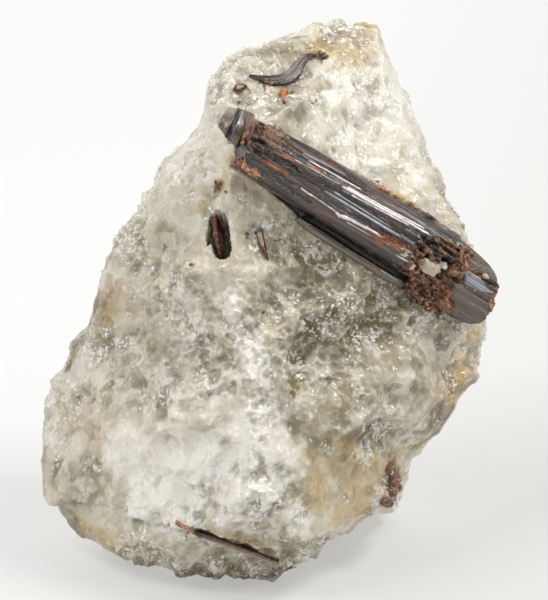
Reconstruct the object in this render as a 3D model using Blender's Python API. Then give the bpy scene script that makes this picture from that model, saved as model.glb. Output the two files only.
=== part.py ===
"""A hand specimen of rutilated quartz: a lump of massive milky quartz with rutile crystals set in it.

The stone is a closed surface about its heart: an outline seen square on from the show side, bulging towards
the viewer and away, cut by fracture faces and chipped by shell-shaped scoops. It rests on a flat face at z = 0.
The crystals are groups of parallel rods, or thin plates that follow the fracture surface they lie in.
Lengths below are in millimetres. The model is in metres, with +Z up.
"""

import math

import bmesh
import bpy
import numpy as np
from mathutils import Matrix, Vector

MM = 0.001
GAP = 0.3  # left open between a crystal and its seat in the stone
SEAT_HEADROOM = 5.0  # how far a seat stays open above its crystal

# The show side is looked at from a little above level. A place on it is given as it is seen: so far right, so
# far up and so far nearer to the viewer than the heart plane.
TILT = math.radians(20)
VIEW_DISTANCE = 450.0
MIDDLE_HEIGHT = 33.7
RIGHT = Vector((1, 0, 0))
UP = Vector((0, math.sin(TILT), math.cos(TILT)))
NEAR = Vector((0, -math.cos(TILT), math.sin(TILT)))

# The stone
HEART = np.array((-2.0, -3.0, 0.0))
FRONT_DEPTH = 22.5
BACK_DEPTH = 22.0
FRONT_FULLNESS = 2.5  # 2 is an ellipsoid, more is boxier
BACK_FULLNESS = 4.5
EDGE_SHARPNESS = 60.0  # of the edges between fracture faces
EDGE_ON = 0.001  # cosine below which a direction misses a face
SUBDIVISIONS = 5
FLOOR_TOLERANCE = 1e-6  # metres; corners this close to the resting face are put exactly on it

# Outline of the stone from the top, clockwise: right, up, near
OUTLINE = (
    (9.2, 36.4, -4),
    (13.5, 35.9, -5),
    (14.8, 32.5, -5),
    (16.4, 28.3, -5),
    (17.9, 24.4, -5),
    (19.9, 18.2, -4),
    (21.3, 14.3, -3),
    (23.8, 11.3, -2),
    (25.5, 7.2, -2),
    (26.8, 2.6, -3),
    (28.0, -2.3, -5),
    (28.6, -4.6, -7),
    (27.5, -8.5, -8),
    (24.3, -13.0, -9),
    (21.7, -16.5, -10),
    (17.8, -20.4, -11),
    (17.0, -24.1, -12),
    (15.2, -27.6, -11),
    (11.3, -29.5, -8),
    (7.4, -32.6, -4),
    (3.4, -34.7, 0),
    (-0.5, -35.8, 2),
    (-7.7, -36.4, 2),
    (-14.2, -35.0, 0),
    (-21.3, -33.4, -3),
    (-25.9, -31.3, -5),
    (-28.6, -28.0, -6),
    (-30.2, -24.7, -6),
    (-31.0, -19.5, -6),
    (-30.3, -13.0, -7),
    (-27.3, -8.8, -8),
    (-25.9, -5.5, -8),
    (-24.0, -3.3, -8),
    (-23.4, 0.0, -8),
    (-21.8, 4.2, -8),
    (-20.8, 7.8, -8),
    (-19.4, 10.4, -8),
    (-17.2, 11.5, -7),
    (-16.1, 14.3, -7),
    (-14.2, 18.2, -6),
    (-11.6, 20.8, -5),
    (-9.3, 24.1, -4),
    (-8.8, 28.0, -4),
    (-6.8, 31.2, -4),
    (-3.8, 32.9, -4),
    (2.1, 34.7, -4),
)

# Fracture faces: a point on the face and the way it looks, both as right, up, near
FACES = (
    ((9.0, 17.0, 13.4), (0.50, 0.40, 0.77)),  # white face above the big crystal
    ((0.0, 33.0, 4.0), (0.10, 0.75, 0.65)),  # crest
    ((-7.0, 12.0, 15.5), (-0.72, 0.12, 0.68)),  # upper left
    ((-7.7, 2.6, 17.5), (-0.58, -0.08, 0.81)),  # left of the ridge
    ((-24.0, -20.0, 7.0), (-0.80, -0.08, 0.60)),  # lump at the lower left
    ((-5.0, -29.0, 16.5), (-0.05, -0.80, 0.60)),  # under the ledge
    ((4.0, -14.0, 17.6), (0.22, -0.02, 0.97)),  # right of the ridge
    ((13.0, -22.0, 11.5), (0.62, -0.34, 0.71)),  # tan face at the lower right
    ((20.0, -14.0, 5.0), (0.86, -0.22, 0.46)),  # break towards the rear
    ((-12.0, 18.0, -14.0), (-0.66, 0.42, -0.62)),  # rear, upper left
    ((10.0, 20.0, -18.0), (0.45, 0.40, -0.80)),  # rear, upper right
    ((22.0, -8.0, -15.0), (0.80, -0.10, -0.60)),  # rear, right
    ((-22.0, -16.0, -14.0), (-0.70, -0.10, -0.70)),  # rear, left
    ((0.0, 5.0, -19.5), (0.08, 0.25, -0.96)),  # rear, middle
)
# The face below the big crystal lies deeper than its neighbours and stops at the crystal
SUNKEN_FACE = ((12.0, 4.0, 10.2), (0.40, 0.16, 0.90))
STEP_WIDTH = 2.2  # of the step that the big crystal hides

# Hollows in the show side: right, up, half width, half height, depth
HOLLOWS = (
    (3.4, -8.3, 2.4, 3.0, 1.8),
    (2.1, -14.3, 2.2, 3.6, 1.2),
    (12.0, -3.5, 4.2, 3.0, 1.3),
    (-14.0, -7.0, 4.0, 7.0, 1.4),
    (-19.5, 6.5, 3.0, 3.5, 1.2),
    (-6.8, -17.0, 3.5, 4.0, 0.8),
    (20.0, -9.0, 3.0, 2.5, 1.0),
)
# Scoops left by chipping: size of a scoop, depth, tilt, seed
CHIPS = ((11.0, 1.4, 0.14, 11), (5.2, 0.75, 0.16, 12))
RIM_BAND = 0.3  # the scoops grow shallower over this last share of the way to the outline
RIM_CALM = 0.75  # and lose this share of their depth there
SEED_CELLS = 24  # the seeds repeat after this many cells
BOWL_REACH = 0.35  # squared share of a scoop's size at which its bowl has risen by its depth
HOLLOW_FADE = 4.0  # the hollows of the show side fade in over this distance in front of the heart plane

# Looking for the surface along the line of sight
SEARCH_DEPTH = 26.0
SEARCH_STEP = 0.05

# The big crystal: its axis from the left end to the right end, as right, up, near
PRISM_START = (-3.4, 20.4, 17.2)
PRISM_END = (27.8, 0.9, 4.6)
# Rods of the big crystal: name, start and end along the axis, then across, outward, width and thickness.
# Lengths along the axis are shares of its length.
PRISM_RODS = (
    ("core", 0.03, 0.83, 0.3, -1.5, 6.6, 4.4),
    ("upper_plate", 0.01, 0.86, 3.0, 0.3, 2.5, 4.2),
    ("middle_rib", 0.00, 0.84, 0.9, 1.0, 3.0, 3.8),
    ("lower_rod", 0.02, 0.80, -2.0, 0.6, 2.9, 3.6),
    ("lower_blade", 0.29, 0.72, -4.7, -1.2, 1.8, 2.4),
    ("blade_web", 0.33, 0.70, -3.6, -1.8, 2.4, 1.8),
    ("end_block", 0.80, 1.01, -0.2, -0.1, 8.5, 6.6),
)
# Broken zone before the end block: share along the axis, across, outward, radius
PRISM_LUMPS = (
    (0.66, -2.0, 0.6, 2.3),
    (0.74, -0.2, 0.9, 2.2),
    (0.755, -2.7, 0.0, 2.3),
    (0.70, -4.0, -1.3, 1.9),
)

LUMP_DENTS = (0.8, 0.12, 0.2, 31)  # scoops on it: size and depth as shares of the radius, tilt, seed

# The short prism beside it: its foot and top as right and up, its height over the surface, and its rods
STUB_FOOT = (-6.3, 20.7)
STUB_TOP = (-4.4, 25.6)
STUB_LIFT = 0.7
STUB_RODS = (
    ("left_rib", 0.28, 0.96, 1.5, 0.0, 1.5, 2.8),
    ("middle_rib", 0.08, 0.86, -0.2, 0.3, 2.4, 3.2),
    ("right_rib", 0.00, 0.58, -1.8, 0.0, 1.6, 2.8),
)
# Its seat is one box that reaches the big crystal's seat, so no chip of stone is left between them
STUB_ROOM = ("room", -0.02, 0.96, -0.6, 0.0, 5.4, 3.2)

# Plates that follow the surface: outline as right and up, then how far they stand out and go in
PLATE_HEADROOM = 2.0
BENT_BLADE = (
    (
        (-3.1, 29.1),
        (-1.2, 29.3),
        (1.4, 29.7),
        (2.1, 29.9),
        (2.9, 31.2),
        (3.9, 32.1),
        (5.1, 32.2),
        (5.7, 31.7),
        (5.6, 31.2),
        (4.4, 31.0),
        (4.2, 30.3),
        (3.1, 29.3),
        (2.1, 28.0),
        (1.2, 27.7),
        (-0.7, 27.9),
        (-2.3, 28.3),
        (-3.1, 28.4),
    ),
    0.5,
    1.6,
)
FLAKE = (((-5.2, 27.3), (-4.4, 28.7), (-3.7, 27.6)), 0.3, 1.0)
SPIKE = (((0.8, 27.1), (1.8, 27.1), (1.6, 26.6), (1.3, 25.8), (1.0, 26.4)), 0.3, 0.8)
SLIVER = (
    ((-2.6, 9.0), (-1.3, 9.2), (-0.9, 7.2), (-0.7, 5.4), (-1.4, 6.5), (-2.1, 8.1)),
    0.3,
    1.0,
)
NEEDLE = (
    ((-12.7, -29.1), (-9.6, -29.9), (0.7, -33.7), (0.4, -34.6), (-9.9, -31.0)),
    0.5,
    0.8,
)
PIT = (
    (
        (-7.9, 10.8),
        (-6.8, 11.3),
        (-5.9, 11.1),
        (-5.5, 9.4),
        (-5.6, 7.4),
        (-6.2, 5.9),
        (-7.4, 5.1),
        (-8.1, 6.5),
        (-7.9, 8.8),
    ),
    1.5,
    3.2,
)
PIT_GRAIN = (
    (
        (-7.5, 10.4),
        (-6.9, 10.8),
        (-6.7, 8.8),
        (-6.9, 6.6),
        (-7.4, 5.8),
        (-7.7, 6.9),
        (-7.5, 8.8),
    ),
    -0.7,
    2.8,
)

# Finishes: base colour, roughness, metallic
FINISHES = {
    "milky_quartz": ((0.62, 0.58, 0.50, 1), 0.45, 0.0),
    "rutile": ((0.10, 0.055, 0.04, 1), 0.28, 0.55),
    "red_rutile": ((0.20, 0.05, 0.02, 1), 0.35, 0.3),
}


def clear_scene():
    for old in list(bpy.data.objects):
        bpy.data.objects.remove(old, do_unlink=True)


def collection(name):
    made = bpy.data.collections.new(name)
    bpy.context.scene.collection.children.link(made)
    return made


def finish(name):
    """The named finish as a Principled material."""
    if name in bpy.data.materials:
        return bpy.data.materials[name]
    colour, roughness, metallic = FINISHES[name]
    material = bpy.data.materials.new(name)
    material.use_nodes = True
    shader = material.node_tree.nodes["Principled BSDF"]
    shader.inputs["Base Color"].default_value = colour
    shader.inputs["Roughness"].default_value = roughness
    shader.inputs["Metallic"].default_value = metallic
    material.diffuse_color = colour
    return material


def new_object(name, bm, group, finish_name=None):
    """Puts a bmesh into the scene as a named object, with its normals pointing out."""
    bmesh.ops.recalc_face_normals(bm, faces=bm.faces[:])
    if bm.calc_volume(signed=True) < 0:
        bmesh.ops.reverse_faces(bm, faces=bm.faces[:])
    mesh = bpy.data.meshes.new(name)
    bm.to_mesh(mesh)
    bm.free()
    made = bpy.data.objects.new(name, mesh)
    group.objects.link(made)
    if finish_name:
        mesh.materials.append(finish(finish_name))
    return made


def in_world(place):
    """World position in metres of right, up, near in millimetres about the middle of the show side."""
    right, up, near = (float(value) for value in place)
    return (RIGHT * right + UP * up + NEAR * near + Vector((0, 0, MIDDLE_HEIGHT))) * MM


def seen(right, up, near):
    """Right, up, near of the point that is seen at (right, up) and lies `near` in front of the heart plane."""
    shrink = 1 - near / VIEW_DISTANCE
    return np.array((right * shrink, up * shrink, near))


def unit(vector):
    vector = np.asarray(vector, float)
    return vector / np.linalg.norm(vector)


def outline_by_angle():
    """Angle about the heart, distance from it and lean towards the viewer of the outline's points."""
    places = np.array([seen(*point) for point in OUTLINE]) - HEART
    angles = np.arctan2(places[:, 1], places[:, 0])
    reach = np.hypot(places[:, 0], places[:, 1])
    order = np.argsort(angles)
    return angles[order], reach[order], (places[:, 2] / reach)[order]


def smooth_step(value):
    value = np.clip(value, 0, 1)
    return value * value * (3 - 2 * value)


def below_prism(places):
    """1 well below the big crystal's axis as seen from the show side, 0 well above it."""
    start = seen(*PRISM_START)[:2]
    along = unit(seen(*PRISM_END)[:2] - start)
    offset = places[:, :2] - start
    drop = offset[:, 0] * along[1] - offset[:, 1] * along[0]
    return smooth_step(drop / STEP_WIDTH + 0.5)


def scoops(places, size, depth, tilt, seed):
    """Shell-shaped scoops that meet in sharp ridges: the least, over nearby seeds, of a tilted bowl about each."""
    draw = np.random.default_rng(seed)
    shape = (SEED_CELLS,) * 3
    shift = draw.random(shape + (3,))
    slope = draw.uniform(-tilt, tilt, shape + (3,))
    cell = np.floor(places / size).astype(int)
    least = np.full(len(places), np.inf)
    for step in np.ndindex(3, 3, 3):
        near_cell = cell + np.array(step) - 1
        slot = tuple((near_cell % SEED_CELLS).T)
        offset = places - (near_cell + shift[slot]) * size
        bowl = (offset**2).sum(1) * depth / (BOWL_REACH * size**2) + (offset * slope[slot]).sum(1)
        least = np.minimum(least, bowl)
    return least - depth


def stone_surface(directions):
    """Points of the stone's surface that lie in the given directions from its heart."""
    across = np.hypot(directions[:, 0], directions[:, 1])
    angles = np.arctan2(directions[:, 1], directions[:, 0])
    known, reaches, leans = outline_by_angle()
    rim = np.interp(angles, known, reaches, period=2 * math.pi)
    lean = np.interp(angles, known, leans, period=2 * math.pi)
    forward = directions[:, 2] - lean * across
    depth = np.where(forward > 0, FRONT_DEPTH, BACK_DEPTH)
    fullness = np.where(forward > 0, FRONT_FULLNESS, BACK_FULLNESS)
    reach = ((across / rim) ** fullness + (np.abs(forward) / depth) ** fullness) ** (-1 / fullness)
    for point, facing in FACES:
        reach = cut_to_face(reach, directions, point, facing)
    sunken = cut_to_face(reach, directions, *SUNKEN_FACE)
    share = below_prism(HEART + directions * reach[:, None])
    reach = reach + (sunken - reach) * share
    to_rim = smooth_step((reach * across / rim - 1 + RIM_BAND) / RIM_BAND)
    for size, depth, tilt, seed in CHIPS:
        chip = scoops(HEART + directions * reach[:, None], size, depth, tilt, seed)
        reach = reach + chip * (1 - RIM_CALM * to_rim)
    places = HEART + directions * reach[:, None]
    shown = smooth_step(places[:, 2] / HOLLOW_FADE)
    for right, up, half_width, half_height, depth in HOLLOWS:
        spread = ((places[:, 0] - right) / half_width) ** 2 + ((places[:, 1] - up) / half_height) ** 2
        reach = reach - depth * shown * np.exp(-spread)
    return HEART + directions * reach[:, None]


def cut_to_face(reach, directions, point, facing):
    """The reach shortened to a fracture face, with a slightly blunt edge where the face begins."""
    facing = unit(facing)
    cosine = directions @ facing
    distance = (seen(*point) - HEART) @ facing
    limit = np.where(cosine > EDGE_ON, distance / np.maximum(cosine, EDGE_ON), np.inf)
    return (reach**-EDGE_SHARPNESS + limit**-EDGE_SHARPNESS) ** (-1 / EDGE_SHARPNESS)


def surface_near(right, up):
    """How near the viewer the stone's surface is where it is seen at (right, up)."""
    nears = np.arange(-SEARCH_DEPTH, SEARCH_DEPTH, SEARCH_STEP)
    places = np.array([seen(right, up, near) for near in nears]) - HEART
    distance = np.linalg.norm(places, axis=1)
    reach = np.linalg.norm(stone_surface(places / distance[:, None]) - HEART, axis=1)
    return float(nears[distance < reach].max())


def surface_facing(right, up, span=1.5):
    """The way the stone's surface looks where it is seen at (right, up)."""
    to_right = seen(right + span, up, surface_near(right + span, up)) - seen(
        right - span, up, surface_near(right - span, up)
    )
    to_top = seen(right, up + span, surface_near(right, up + span)) - seen(
        right, up - span, surface_near(right, up - span)
    )
    return unit(np.cross(to_right, to_top))


def make_stone(group):
    """The lump of quartz: a sphere of triangles drawn out to the stone's surface, cut flat at z = 0."""
    bm = bmesh.new()
    bmesh.ops.create_icosphere(bm, subdivisions=SUBDIVISIONS, radius=1)
    directions = np.array([vertex.co[:] for vertex in bm.verts])
    for vertex, place in zip(bm.verts, stone_surface(directions)):
        vertex.co = in_world(place)
    everything = bm.verts[:] + bm.edges[:] + bm.faces[:]
    bmesh.ops.bisect_plane(
        bm, geom=everything, dist=1e-7, plane_co=(0, 0, 0), plane_no=(0, 0, -1), clear_outer=True
    )
    for vertex in bm.verts:
        if abs(vertex.co.z) < FLOOR_TOLERANCE:
            vertex.co.z = 0.0
    rim = [edge for edge in bm.edges if edge.is_boundary]
    bmesh.ops.contextual_create(bm, geom=rim)
    return new_object("quartz_matrix", bm, group, "milky_quartz")


def rod_axes(start, end):
    """Across, outward and along, for rods that run from start to end."""
    along = unit(end - start)
    outward = unit(np.array((0, 0, 1)) - along * along[2])
    return np.cross(outward, along), outward, along


def rod(name, group, line, shares, across, outward, width, thickness, sides=8):
    """A rod beside a line, between two shares of its length: a prism with flat sides up, down, left and right."""
    start, end = line
    side, out, along = rod_axes(start, end)
    whole = np.linalg.norm(end - start)
    middle = start + along * whole * sum(shares) / 2 + side * across + out * outward
    size = (width, thickness, (shares[1] - shares[0]) * whole)
    bm = bmesh.new()
    flat_to_corner = 0.5 / math.cos(math.pi / sides)
    bmesh.ops.create_cone(
        bm,
        cap_ends=True,
        segments=sides,
        radius1=flat_to_corner,
        radius2=flat_to_corner,
        depth=1,
        matrix=Matrix.Rotation(math.pi / sides, 4, "Z"),
    )
    for vertex in bm.verts:
        x, y, z = (share * extent for share, extent in zip(vertex.co, size))
        vertex.co = in_world(middle + side * x + out * y + along * z)
    return new_object(name, bm, group, "rutile")


def rod_seat(name, group, line, shares, across, outward, width, thickness):
    """Square room for a rod, with the gap round it and open towards the viewer."""
    whole = np.linalg.norm(line[1] - line[0])
    spare = GAP / whole
    return rod(
        name,
        group,
        line,
        (shares[0] - spare, shares[1] + spare),
        across,
        outward + SEAT_HEADROOM / 2 - GAP / 2,
        width + 2 * GAP,
        thickness + SEAT_HEADROOM + GAP,
        sides=4,
    )


def lump(name, group, line, share, across, outward, radius):
    """An angular lump beside a line."""
    start, end = line
    side, out, _ = rod_axes(start, end)
    middle = start + (end - start) * share + side * across + out * outward
    bm = bmesh.new()
    bmesh.ops.create_icosphere(bm, subdivisions=2, radius=1)
    directions = np.array([vertex.co[:] for vertex in bm.verts])
    size, depth, tilt, seed = LUMP_DENTS
    dents = scoops(middle + directions * radius, radius * size, radius * depth, tilt, seed)
    for vertex, direction, dent in zip(bm.verts, directions, dents):
        vertex.co = in_world(middle + direction * (radius + min(dent, 0)))
    return new_object(name, bm, group, "rutile")


def joined(name, pieces, group, cutters):
    """The first piece joined with the others by Boolean unions, under a new name."""
    whole = pieces[0]
    whole.name = name
    cutters.objects.unlink(whole)
    group.objects.link(whole)
    for piece in pieces[1:]:
        union = whole.modifiers.new("join " + piece.name, "BOOLEAN")
        union.operation = "UNION"
        union.solver = "MANIFOLD"  # the exact solver drops rods where a lump meets their edges
        union.object = piece
        hide(piece)


def hide(cutter):
    cutter.hide_render = True
    cutter.display_type = "WIRE"


def cut(body, cutter):
    """Leaves the cutter's room open in the body."""
    difference = body.modifiers.new("seat " + cutter.name, "BOOLEAN")
    difference.operation = "DIFFERENCE"
    difference.object = cutter
    hide(cutter)


def make_prism(stone, group, cutters):
    """The big crystal: parallel rods and a broken zone, joined, and its seat in the stone."""
    line = (seen(*PRISM_START), seen(*PRISM_END))
    whole = np.linalg.norm(line[1] - line[0])
    pieces = []
    for name, first, last, *section in PRISM_RODS:
        pieces.append(rod("prism_" + name, cutters, line, (first, last), *section))
        cut(stone, rod_seat("seat_" + name, cutters, line, (first, last), *section))
    for number, (share, across, outward, radius) in enumerate(PRISM_LUMPS):
        pieces.append(lump(f"prism_lump_{number}", cutters, line, share, across, outward, radius))
        reach = radius / whole
        section = (across, outward, 2 * radius, 2 * radius)
        cut(stone, rod_seat(f"seat_lump_{number}", cutters, line, (share - reach, share + reach), *section))
    joined("rutile_prism", pieces, group, cutters)


def make_stub(stone, group, cutters):
    """The short prism: three ribs side by side, half sunk in the stone."""
    line = [seen(right, up, surface_near(right, up) + STUB_LIFT) for right, up in (STUB_FOOT, STUB_TOP)]
    pieces = []
    for name, first, last, *section in STUB_RODS:
        pieces.append(rod("stub_" + name, cutters, line, (first, last), *section))
    joined("rutile_stub", pieces, group, cutters)
    name, first, last, *section = STUB_ROOM
    cut(stone, rod_seat("stub_" + name, cutters, line, (first, last), *section))


def grown_outline(outline, amount):
    """A closed clockwise outline moved outward by the amount."""
    points = np.array(outline, float)
    before = points - np.roll(points, 1, axis=0)
    after = np.roll(points, -1, axis=0) - points
    normals = []
    for edge in (before, after):
        normal = np.stack((-edge[:, 1], edge[:, 0]), axis=1)
        normals.append(normal / np.linalg.norm(normal, axis=1, keepdims=True))
    middle = normals[0] + normals[1]
    middle /= np.linalg.norm(middle, axis=1, keepdims=True)
    stretch = np.maximum((middle * normals[0]).sum(1), 0.5)
    return points + middle * (amount / stretch)[:, None]


def plate(name, group, plate_shape, grow=0.0, headroom=0.0, finish_name=None):
    """A flat plate along the stone's surface, with its outline as seen: it stands out a little and goes in."""
    outline, stands_out, goes_in = plate_shape
    grown = grown_outline(outline, grow) if grow else np.array(outline, float)
    places = np.array([seen(right, up, surface_near(right, up)) for right, up in outline])
    middle = np.mean(outline, axis=0)
    facing = surface_facing(*middle)
    flat = places - np.outer((places - places.mean(0)) @ facing, facing)
    slope = -facing[:2] / facing[2]
    shift = grown - np.array(outline, float)
    flat[:, :2] += shift
    flat[:, 2] += shift @ slope
    bm = bmesh.new()
    rings = []
    for level in (stands_out + headroom, -goes_in - grow):
        rings.append([bm.verts.new(in_world(place + facing * level)) for place in flat])
    top, bottom = rings
    bm.faces.new(top)
    bm.faces.new(bottom[::-1])
    for here in range(len(top)):
        after = (here + 1) % len(top)
        bm.faces.new((top[here], top[after], bottom[after], bottom[here]))
    bmesh.ops.triangulate(bm, faces=bm.faces[:])
    return new_object(name, bm, group, finish_name)


def make_plates(stone, group, cutters):
    """The thin crystals that lie in the fracture surface, and the pit with its grain."""
    for name, shape, finish_name in (
        ("rutile_bent_blade", BENT_BLADE, "rutile"),
        ("rutile_flake", FLAKE, "red_rutile"),
        ("rutile_spike", SPIKE, "red_rutile"),
        ("rutile_sliver", SLIVER, "red_rutile"),
        ("rutile_needle", NEEDLE, "rutile"),
    ):
        plate(name, group, shape, finish_name=finish_name)
        cut(stone, plate("seat_of_" + name, cutters, shape, grow=GAP, headroom=PLATE_HEADROOM))
    cut(stone, plate("pit", cutters, PIT))
    plate("rutile_pit_grain", group, PIT_GRAIN, finish_name="red_rutile")


def main():
    clear_scene()
    group = collection("rutilated_quartz")
    cutters = collection("cutters")
    stone = make_stone(group)
    make_prism(stone, group, cutters)
    make_stub(stone, group, cutters)
    make_plates(stone, group, cutters)


main()
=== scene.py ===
# %% [markdown]
# # Rutilated quartz
# The object is a hand specimen of massive milky quartz, 59 mm wide and 67 mm tall. A big striated prism of
# rutile lies across its upper front, and smaller rutile crystals are set in its broken faces.
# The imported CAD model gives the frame: its nodes say how large everything is and where it sits. This file
# builds the surfaces that a viewer sees, each over its CAD node.

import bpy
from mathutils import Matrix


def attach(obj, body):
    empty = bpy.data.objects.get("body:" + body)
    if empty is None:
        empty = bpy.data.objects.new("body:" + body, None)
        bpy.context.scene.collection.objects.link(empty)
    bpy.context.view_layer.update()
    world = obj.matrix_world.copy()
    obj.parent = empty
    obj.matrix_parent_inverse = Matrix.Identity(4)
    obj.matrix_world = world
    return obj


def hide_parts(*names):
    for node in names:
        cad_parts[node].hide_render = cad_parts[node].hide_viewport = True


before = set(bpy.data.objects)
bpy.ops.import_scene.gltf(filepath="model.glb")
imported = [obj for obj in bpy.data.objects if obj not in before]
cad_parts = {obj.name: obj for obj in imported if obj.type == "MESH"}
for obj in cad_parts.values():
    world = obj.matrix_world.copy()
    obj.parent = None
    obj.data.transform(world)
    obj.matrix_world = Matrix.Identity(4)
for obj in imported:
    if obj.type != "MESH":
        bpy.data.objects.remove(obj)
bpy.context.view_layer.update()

# %% [markdown]
# ## A frame for the show side
# A specimen is described from the side it is shown on. The show side is looked at from 20 degrees above
# level, so a place is given here as so far right, so far up and so far nearer to the viewer, in millimetres
# about the middle of that side. Every shape is worked out in these lengths and turned into metres once.

# %% The show side's axes
import math

import bpy
import numpy as np
from mathutils import Vector
from mathutils.bvhtree import BVHTree

MM = 0.001
TILT = math.radians(20)
VIEW_DISTANCE = 450.0
MIDDLE_HEIGHT = 33.7
RIGHT = np.array((1.0, 0, 0))
UP = np.array((0, math.sin(TILT), math.cos(TILT)))
NEAR = np.array((0, -math.cos(TILT), math.sin(TILT)))


def in_world(places):
    """Rows of right, up, near in mm as metres: right * RIGHT + up * UP + near * NEAR above the floor."""
    return (places @ np.stack((RIGHT, UP, NEAR)) + (0, 0, MIDDLE_HEIGHT)) * MM


def seen(right, up, near):
    """The place seen at (right, up) that lies `near` in front of the middle: nearer things look larger."""
    shrink = 1 - near / VIEW_DISTANCE
    return np.array((right * shrink, up * shrink, near))


def unit(vector):
    """The vector divided by its length."""
    vector = np.asarray(vector, float)
    return vector / np.linalg.norm(vector, axis=-1, keepdims=True)


def columns_at(table, value):
    """The table's other columns, interpolated at the value of its first one."""
    table = np.asarray(table, float)
    return [np.interp(value, table[:, 0], column) for column in table.T[1:]]


def past(value, low, high):
    """How far the value lies below low or above high, and 0 between."""
    return np.maximum(np.maximum(low - value, value - high), 0)


def way_along(path):
    """The length of the path up to each of its points."""
    return np.concatenate(((0,), np.cumsum(np.linalg.norm(np.diff(path, axis=0), axis=1))))


print("The show side looks along", np.round(-NEAR, 3))

# %% [markdown]
# ## Random but repeatable
# Stone is irregular at every size, so most shapes below add noise. Two kinds are enough. Smooth noise blends
# random numbers on a lattice. Scoops are what chipping leaves: shallow shells that meet in sharp ridges.

# %% Noise and scoops
SEED_CELLS = 24


def smooth_step(value):
    """0 up to 0, 1 from 1 on, and 3 v^2 - 2 v^3 between."""
    value = np.clip(value, 0, 1)
    return value * value * (3 - 2 * value)


def noise(places, size, seed):
    """Values from -1 to 1: random numbers at the eight corners of a place's cell, blended by smooth steps."""
    table = np.random.default_rng(seed).uniform(-1, 1, (SEED_CELLS,) * 3)
    scaled = np.asarray(places) / size
    low = np.floor(scaled)
    share = smooth_step(scaled - low)
    total = np.zeros(len(places))
    for corner in np.ndindex(2, 2, 2):
        weight = np.where(corner, share, 1 - share).prod(1)
        total += weight * table[tuple((low + corner).astype(int).T % SEED_CELLS)]
    return total


def fractal(places, size, seed, octaves=4):
    """Noise plus half as much noise at half the size, and so on."""
    return sum(noise(places, size / 2**step, seed + step) / 2**step for step in range(octaves))


def scoops(places, size, depth, tilt, seed):
    """The least, over nearby seeds, of a tilted bowl about each: offset^2 * depth / (0.35 size^2) + slope."""
    draw = np.random.default_rng(seed)
    shape = (SEED_CELLS,) * 3
    shift = draw.random(shape + (3,))
    slope = draw.uniform(-tilt, tilt, shape + (3,))
    cell = np.floor(places / size).astype(int)
    least = np.full(len(places), np.inf)
    for step in np.ndindex(3, 3, 3):
        near_cell = cell + np.array(step) - 1
        slot = tuple((near_cell % SEED_CELLS).T)
        offset = places - (near_cell + shift[slot]) * size
        bowl = (offset**2).sum(1) * depth / (0.35 * size**2) + (offset * slope[slot]).sum(1)
        least = np.minimum(least, bowl)
    return least - depth


print("noise at one place:", noise(np.array([(1.0, 2.0, 3.0)]), 2.0, 1).round(3))

# %% [markdown]
# ## From arrays to a mesh
# Every piece ends as an array of places, an array of corner numbers for its faces, and some values for each
# place, such as how rusty it is. The values become attributes that the material reads.

# %% A piece from arrays


def new_piece(name, places, faces, slot, replaces=(), values=None, flat=False):
    """A mesh object of places (mm) and faces, turned so that the sum of corner products is positive."""
    places, faces = np.asarray(places), [np.asarray(block) for block in faces]
    volume = 0.0
    for block in faces:
        for second in range(1, block.shape[1] - 1):
            a, b, c = (places[block[:, corner]] for corner in (0, second, second + 1))
            volume += (np.cross(a, b) * c).sum() / 6
    if volume < 0:
        faces = [block[:, ::-1] for block in faces]
    mesh = bpy.data.meshes.new(name)
    mesh.from_pydata(in_world(places).tolist(), [], [row for block in faces for row in block.tolist()])
    mesh.polygons.foreach_set("use_smooth", np.full(len(mesh.polygons), not flat))
    for key, value in (values or {}).items():
        value = np.asarray(value, np.float32)
        kind, field = ("FLOAT", "value") if value.ndim == 1 else ("FLOAT_VECTOR", "vector")
        mesh.attributes.new(key, kind, "POINT").data.foreach_set(field, value.ravel())
    made = bpy.data.objects.new(name, mesh)
    bpy.context.scene.collection.objects.link(made)
    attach(made, "root")
    for node in replaces:
        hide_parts(node)
    print(f"{name}: {sum(len(b) * (b.shape[1] - 2) for b in faces)} triangles, {abs(volume):.1f} mm3")
    return made


def cube_sphere(cells):
    """Directions and quads of a cube's skin as a sphere: tan(pi/4 (2 i / cells - 1)) on each axis."""
    first, second = np.meshgrid(np.arange(cells), np.arange(cells), indexing="ij")
    squares = []
    for axis in range(3):
        for end, steps in ((0, ((0, 0), (0, 1), (1, 1), (1, 0))), (cells, ((0, 0), (1, 0), (1, 1), (0, 1)))):
            square = np.zeros((4, cells, cells, 3), int)
            square[..., axis] = end
            for corner, (ahead, aside) in enumerate(steps):
                square[corner, ..., (axis + 1) % 3] = first + ahead
                square[corner, ..., (axis + 2) % 3] = second + aside
            squares.append(square.reshape(4, -1, 3).transpose(1, 0, 2))
    lattice = np.concatenate(squares).reshape(-1, 3)
    keys = lattice @ ((cells + 1) ** 2, cells + 1, 1)
    _, kept, corners = np.unique(keys, return_index=True, return_inverse=True)
    return unit(np.tan(math.pi / 4 * (2 * lattice[kept] / cells - 1))), corners.reshape(-1, 4)


# %% [markdown]
# ## The lump of quartz
# Massive quartz breaks without planes, so the lump is a bulging outline cut by fracture faces and scooped
# by chipping. The CAD node is the same surface, coarser. Here it gets three finer sizes of scoop, the groove
# that the big crystal lies in, and a mesh that is finest on the show side.

# %% The stone's outline, faces and hollows
HEART = np.array((-2.0, -3.0, 0.0))
FRONT_DEPTH = 22.5
BACK_DEPTH = 22.0
FRONT_FULLNESS = 2.5
BACK_FULLNESS = 4.5
EDGE_SHARPNESS = 60.0
RIM_BAND = 0.3
RIM_CALM = 0.75
TINY = 1e-3  # a cosine below this never meets the plane
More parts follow.
